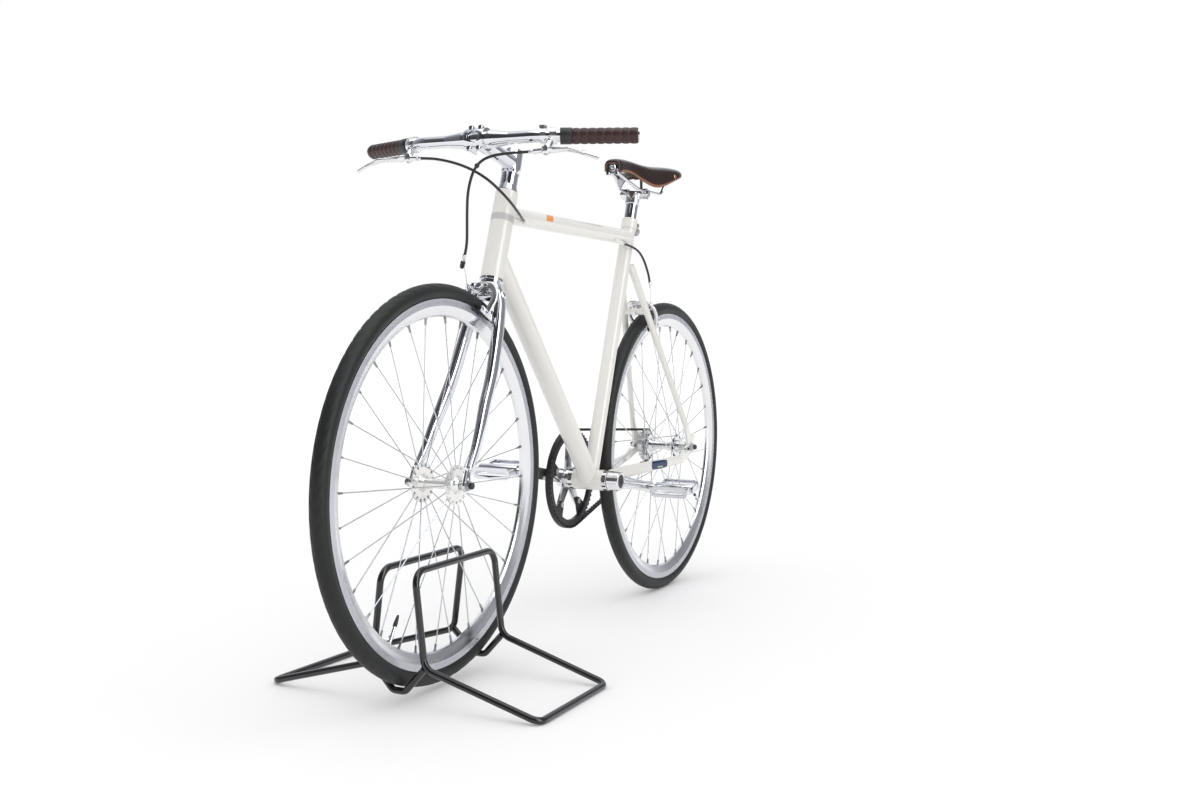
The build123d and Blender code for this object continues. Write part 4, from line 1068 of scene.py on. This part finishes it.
# %% Front and rear caliper
crown_point = on_head(-0.117)
to_front_axle = (FRONT_AXLE - crown_point).normalized()
build_caliper("front", crown_point, to_front_axle, Vector((0, to_front_axle.z, -to_front_axle.y)),
              Vector((-0.024, -0.374, 0.729)), 0.022, "steering")
bridge_point = Vector((0, 0.316655, 0.651981))
to_rear_axle = (REAR_AXLE - bridge_point).normalized()
build_caliper("rear", bridge_point, to_rear_axle, Vector((0, -to_rear_axle.z, to_rear_axle.y)),
              Vector((0.03, 0.329, 0.707)), 0.008, "frame")

# %% [markdown]
# ## Cable ends
# A cable's housing ends in a metal ferrule wherever it meets a barrel or a stop. At the front caliper a
# short rubber boot keeps water off the bare wire, and a small clip sits on the housing further up. They
# follow the cables' measured lines, so they stay in place if a route changes.

# %% Ferrules
def add_ferrule(bm, points, length, radius):
    """A sleeve over the end of a cable's line, which starts at the first of the points."""
    start, towards = points[0], points[3]
    add_turned(bm, start, towards - start, [(-0.0008, radius * 0.86), (0.0004, radius), (length - 0.0006, radius),
                                            (length, radius * 0.88)], 20)


front_line, rear_line, crossing_line = (line_of(route) for route in (front_route, rear_route, crossing_route))
bm = bmesh.new()
add_ferrule(bm, front_line, 0.009, 0.0032)
add_ferrule(bm, crossing_line, 0.009, 0.0032)
add_ferrule(bm, front_line[::-1], 0.013, 0.0034)
piece("steering_ferrules", bm, chrome, "steering")
bm = bmesh.new()
add_ferrule(bm, rear_line, 0.007, 0.0031)
add_ferrule(bm, rear_line[::-1], 0.012, 0.0033)
add_ferrule(bm, crossing_line[::-1], 0.006, 0.0031)
piece("frame_ferrules", bm, chrome, "frame")

# %% Boot and clip
CLIP_HEIGHT = 0.889
BOOT = [(0, 0.0036), (0.002, 0.0044), (0.012, 0.0042), (0.0145, 0.003)]
CLIP = [(-0.003, 0.0034), (-0.002, 0.0042), (0.002, 0.0042), (0.003, 0.0034)]
end, before = front_line[-1], front_line[-4]
bm = bmesh.new()
add_turned(bm, end, end - before, BOOT, 20)
clip = min(range(len(front_line)), key=lambda k: abs(front_line[k].z - CLIP_HEIGHT))
add_turned(bm, front_line[clip], front_line[clip + 1] - front_line[clip], CLIP, 16)
piece("front_cable_boot", bm, black_plastic, "steering")

# %% [markdown]
# ## Stickers
# Three plain stickers are on the frame: a grey band round the head tube, a small orange one on the top
# tube and a navy one on the left chain stay. Flat rectangles would cut into the round tubes, so a
# sticker's points are cast on to the tube's own surface and lifted by the thickness of the film.

# %% Helper for stickers
FILM, CAST_FROM = 0.00025, 0.06


def add_sticker(bm, target, centre, facing, upward, width, height, film=FILM, rounding=0.35, material=0, lean=0.0):
    """A thin closed film where a rounded rectangle lands on a CAD piece. Lean shears its upright sides."""
    facing = Vector(facing).normalized()
    right = Vector(upward).cross(facing).normalized()
    upward = facing.cross(right)
    cells = 12
    outer, inner = [], []
    for i in range(cells + 1):
        for j in range(cells + 1):
            u, v = 2 * i / cells - 1, 2 * j / cells - 1
            x, y = u * sqrt(1 - rounding * v * v / 2), v * sqrt(1 - rounding * u * u / 2)
            start = (Vector(centre) + facing * CAST_FROM + right * (x * width + lean * y * height) / 2
                     + upward * y * height / 2)
            hit, point, normal, _ = target.ray_cast(start, -facing)
            assert hit, (target.name, i, j)
            outer.append(bm.verts.new(point + normal * film))
            inner.append(bm.verts.new(point - normal * FILM))
    side = cells + 1
    for i in range(cells):
        for j in range(cells):
            a, b, c, d = i * side + j, (i + 1) * side + j, (i + 1) * side + j + 1, i * side + j + 1
            bm.faces.new((outer[a], outer[b], outer[c], outer[d])).material_index = material
            bm.faces.new((inner[d], inner[c], inner[b], inner[a])).material_index = material
    edge = list(range(cells)) + [i * side + cells for i in range(cells)]
    edge += [cells * side + j for j in range(cells, 0, -1)] + [i * side for i in range(cells, 0, -1)]
    for a, b in zip(edge, edge[1:] + edge[:1]):
        bm.faces.new((outer[a], outer[b], inner[b], inner[a])).material_index = material


print("helper ready: add_sticker")

# %% [markdown]
# The navy sticker carries a pale green dash, as a second film on top of the first. The band goes all
# the way round its tube, so it is simply turned.

# %% Stickers
orange_film = finish("orange sticker film", (0.85, 0.3, 0.06), (0.8, 0.27, 0.05), (0.25, 0.35), (300.0, 0.01), 30.0)
navy_film = finish("navy sticker film", (0.018, 0.032, 0.11), (0.024, 0.04, 0.13), (0.2, 0.3), (300.0, 0.01), 30.0)
green_film = finish("pale green ink", (0.4, 0.62, 0.3), (0.36, 0.58, 0.27), (0.25, 0.35), (300.0, 0.01), 30.0)
grey_film = finish("grey sticker film", (0.56, 0.56, 0.55), (0.52, 0.52, 0.51), (0.25, 0.35), (300.0, 0.01), 30.0)
bm = bmesh.new()
add_sticker(bm, NODES["top_tube"], (0, -0.1215, 0.8162), (0.88, 0, 0.47), (0, 0, 1), 0.028, 0.0138,
            rounding=0.12, lean=0.85)
piece("top_tube_sticker", bm, orange_film, "frame")
bm = bmesh.new()
STAY_SPOT, STAY_FACING = Vector((0.055, 0.335, 0.3088)), Vector((0.98, -0.18, 0))
add_sticker(bm, NODES["chain_stays"], STAY_SPOT, STAY_FACING, (0, 0, 1), 0.064, 0.0192)
add_sticker(bm, NODES["chain_stays"], STAY_SPOT + Vector((0, 0.002, -0.0045)), STAY_FACING, (0, 0, 1), 0.022, 0.003,
            FILM * 1.8, 0.2, 1)
piece("chain_stay_sticker", bm, [navy_film, green_film], "frame")
HEAD_R, BAND_AT, BAND_HALF = 0.021, 0.030, 0.0062
bm = bmesh.new()
outside = [(BAND_AT - BAND_HALF, HEAD_R - FILM), (BAND_AT - BAND_HALF, HEAD_R + FILM),
           (BAND_AT + BAND_HALF, HEAD_R + FILM), (BAND_AT + BAND_HALF, HEAD_R - FILM)]
add_turned(bm, HEAD_POINT, HEAD_LINE, outside, 96)
piece("head_tube_band", bm, grey_film, "frame")

# %% [markdown]
# ## Floor and light
# The floor is plain, pale and matt. It glows a little more the further it lies from the bicycle, so
# that it meets the white room without an edge. A curved backdrop would do that from one side only.

# %% Floor
bm = bmesh.new()
FLOOR_HALF = 60.0
corners = [bm.verts.new((x * FLOOR_HALF, y * FLOOR_HALF, 0)) for x, y in ((-1, -1), (1, -1), (1, 1), (-1, 1))]
bm.faces.new(corners)
floor_finish = finish("pale floor", (0.9, 0.9, 0.905), (0.89, 0.89, 0.895), (0.3, 0.34), (20.0, 0.0), 0.8,
                      specular_ior_level=0.0, emission_strength=1.0)
tree, principled, _, _ = parts_of(floor_finish)
place = node(tree, "TexCoord")
away = node(tree, "VectorMath", operation="LENGTH")
glow = node(tree, "MapRange", **{"From Min": 1.2, "From Max": 6.0, "To Min": 0.04, "To Max": 0.2})
wire(tree, ((place, "Object", away, 0), (away, "Value", glow, "Value"),
            (glow, "Result", principled, "Emission Color")))
floor = piece("floor", bm, floor_finish, None)

# %% [markdown]
# One large, soft lamp hangs overhead. Several small ones would give several shadows, and the size of
# this one keeps the shadows under the tyres pale and blurred.

# %% Lights
def area_light(name, at, aim, size, power):
    data = bpy.data.lights.new(name, "AREA")
    data.shape = "RECTANGLE"
    data.size, data.size_y = size
    data.energy = power
    obj = bpy.data.objects.new(name, data)
    obj.location = at
    obj.rotation_euler = (Vector(aim) - Vector(at)).to_track_quat("-Z", "Y").to_euler()
    bpy.context.scene.collection.objects.link(obj)


area_light("overhead", (0.4, -0.5, 3.2), (0, 0, 0.4), (2.4, 2.4), 12)

# %% [markdown]
# The room is a white tent. Polished metal shows what stands round it, and in an even tent it would look
# like plaster. So mirror rays meet a ring of panels: a dark opening in front, a bright strip beside it
# and bluish cloth further round. Matt surfaces are lit by the plain tent, and seen directly it is plain
# white.

# %% Room
world = bpy.data.worlds.new("studio")
bpy.context.scene.world = world
world.use_nodes = True
tree = world.node_tree
background = tree.nodes["Background"]
direction = node(tree, "TexCoord")
OPENING, BESIDE = (0.4532, -0.8914, 0.0), (0.8914, 0.4532, 0.0)
ahead = node(tree, "VectorMath", operation="DOT_PRODUCT")
ahead.inputs[1].default_value = OPENING
beside = node(tree, "VectorMath", operation="DOT_PRODUCT")
beside.inputs[1].default_value = BESIDE
bearing = node(tree, "Math", operation="ARCTAN2")
round_tent = node(tree, "MapRange", **{"From Min": -pi, "From Max": pi})
panels = node(tree, "ValToRGB")
# Round the tent in degrees from the opening: how bright each panel is.
PANELS = [(-180, 0.95), (-150, 0.8), (-120, 0.36), (-95, 0.22), (-60, 0.06), (33, 0.04), (42, 4.6), (62, 4.6),
          (70, 0.36), (125, 0.26), (150, 0.85), (180, 0.95)]
TINT = Vector((0.95, 0.98, 1.05))
while len(panels.color_ramp.elements) < len(PANELS):
    panels.color_ramp.elements.new(0.5)
for element, (degrees_round, _) in zip(panels.color_ramp.elements, PANELS):
    element.position = (degrees_round + 180) / 360
for element, (_, light) in zip(panels.color_ramp.elements, PANELS):       # only now, as moving them can reorder them
    element.color = (*(TINT * light), 1)
height = node(tree, "SeparateXYZ")
ceiling = node(tree, "MapRange", **{"From Min": 0.78, "From Max": 0.92})
roofed = node(tree, "Mix", data_type="RGBA")
roofed.inputs["B"].default_value = (1.3, 1.3, 1.3, 1)
rays = node(tree, "LightPath")
mirrored = node(tree, "Mix", data_type="RGBA")
mirrored.inputs["A"].default_value = (1.02, 1.02, 1.02, 1)
shown = node(tree, "Mix", data_type="RGBA")
shown.inputs["B"].default_value = (1, 1, 1, 1)
WORLD_LINKS = ((direction, "Generated", ahead, 0), (direction, "Generated", beside, 0), (beside, "Value", bearing, 0),
               (ahead, "Value", bearing, 1), (bearing, "Value", round_tent, "Value"),
               (round_tent, "Result", panels, "Fac"), (direction, "Generated", height, "Vector"),
               (height, "Z", ceiling, "Value"), (ceiling, "Result", roofed, "Factor"), (panels, "Color", roofed, "A"),
               (rays, "Is Glossy Ray", mirrored, "Factor"), (roofed, "Result", mirrored, "B"),
               (rays, "Is Camera Ray", shown, "Factor"), (mirrored, "Result", shown, "A"),
               (shown, "Result", background, "Color"))
wire(tree, WORLD_LINKS)
bpy.context.scene.view_settings.view_transform = "Standard"
print("lights and room ready")
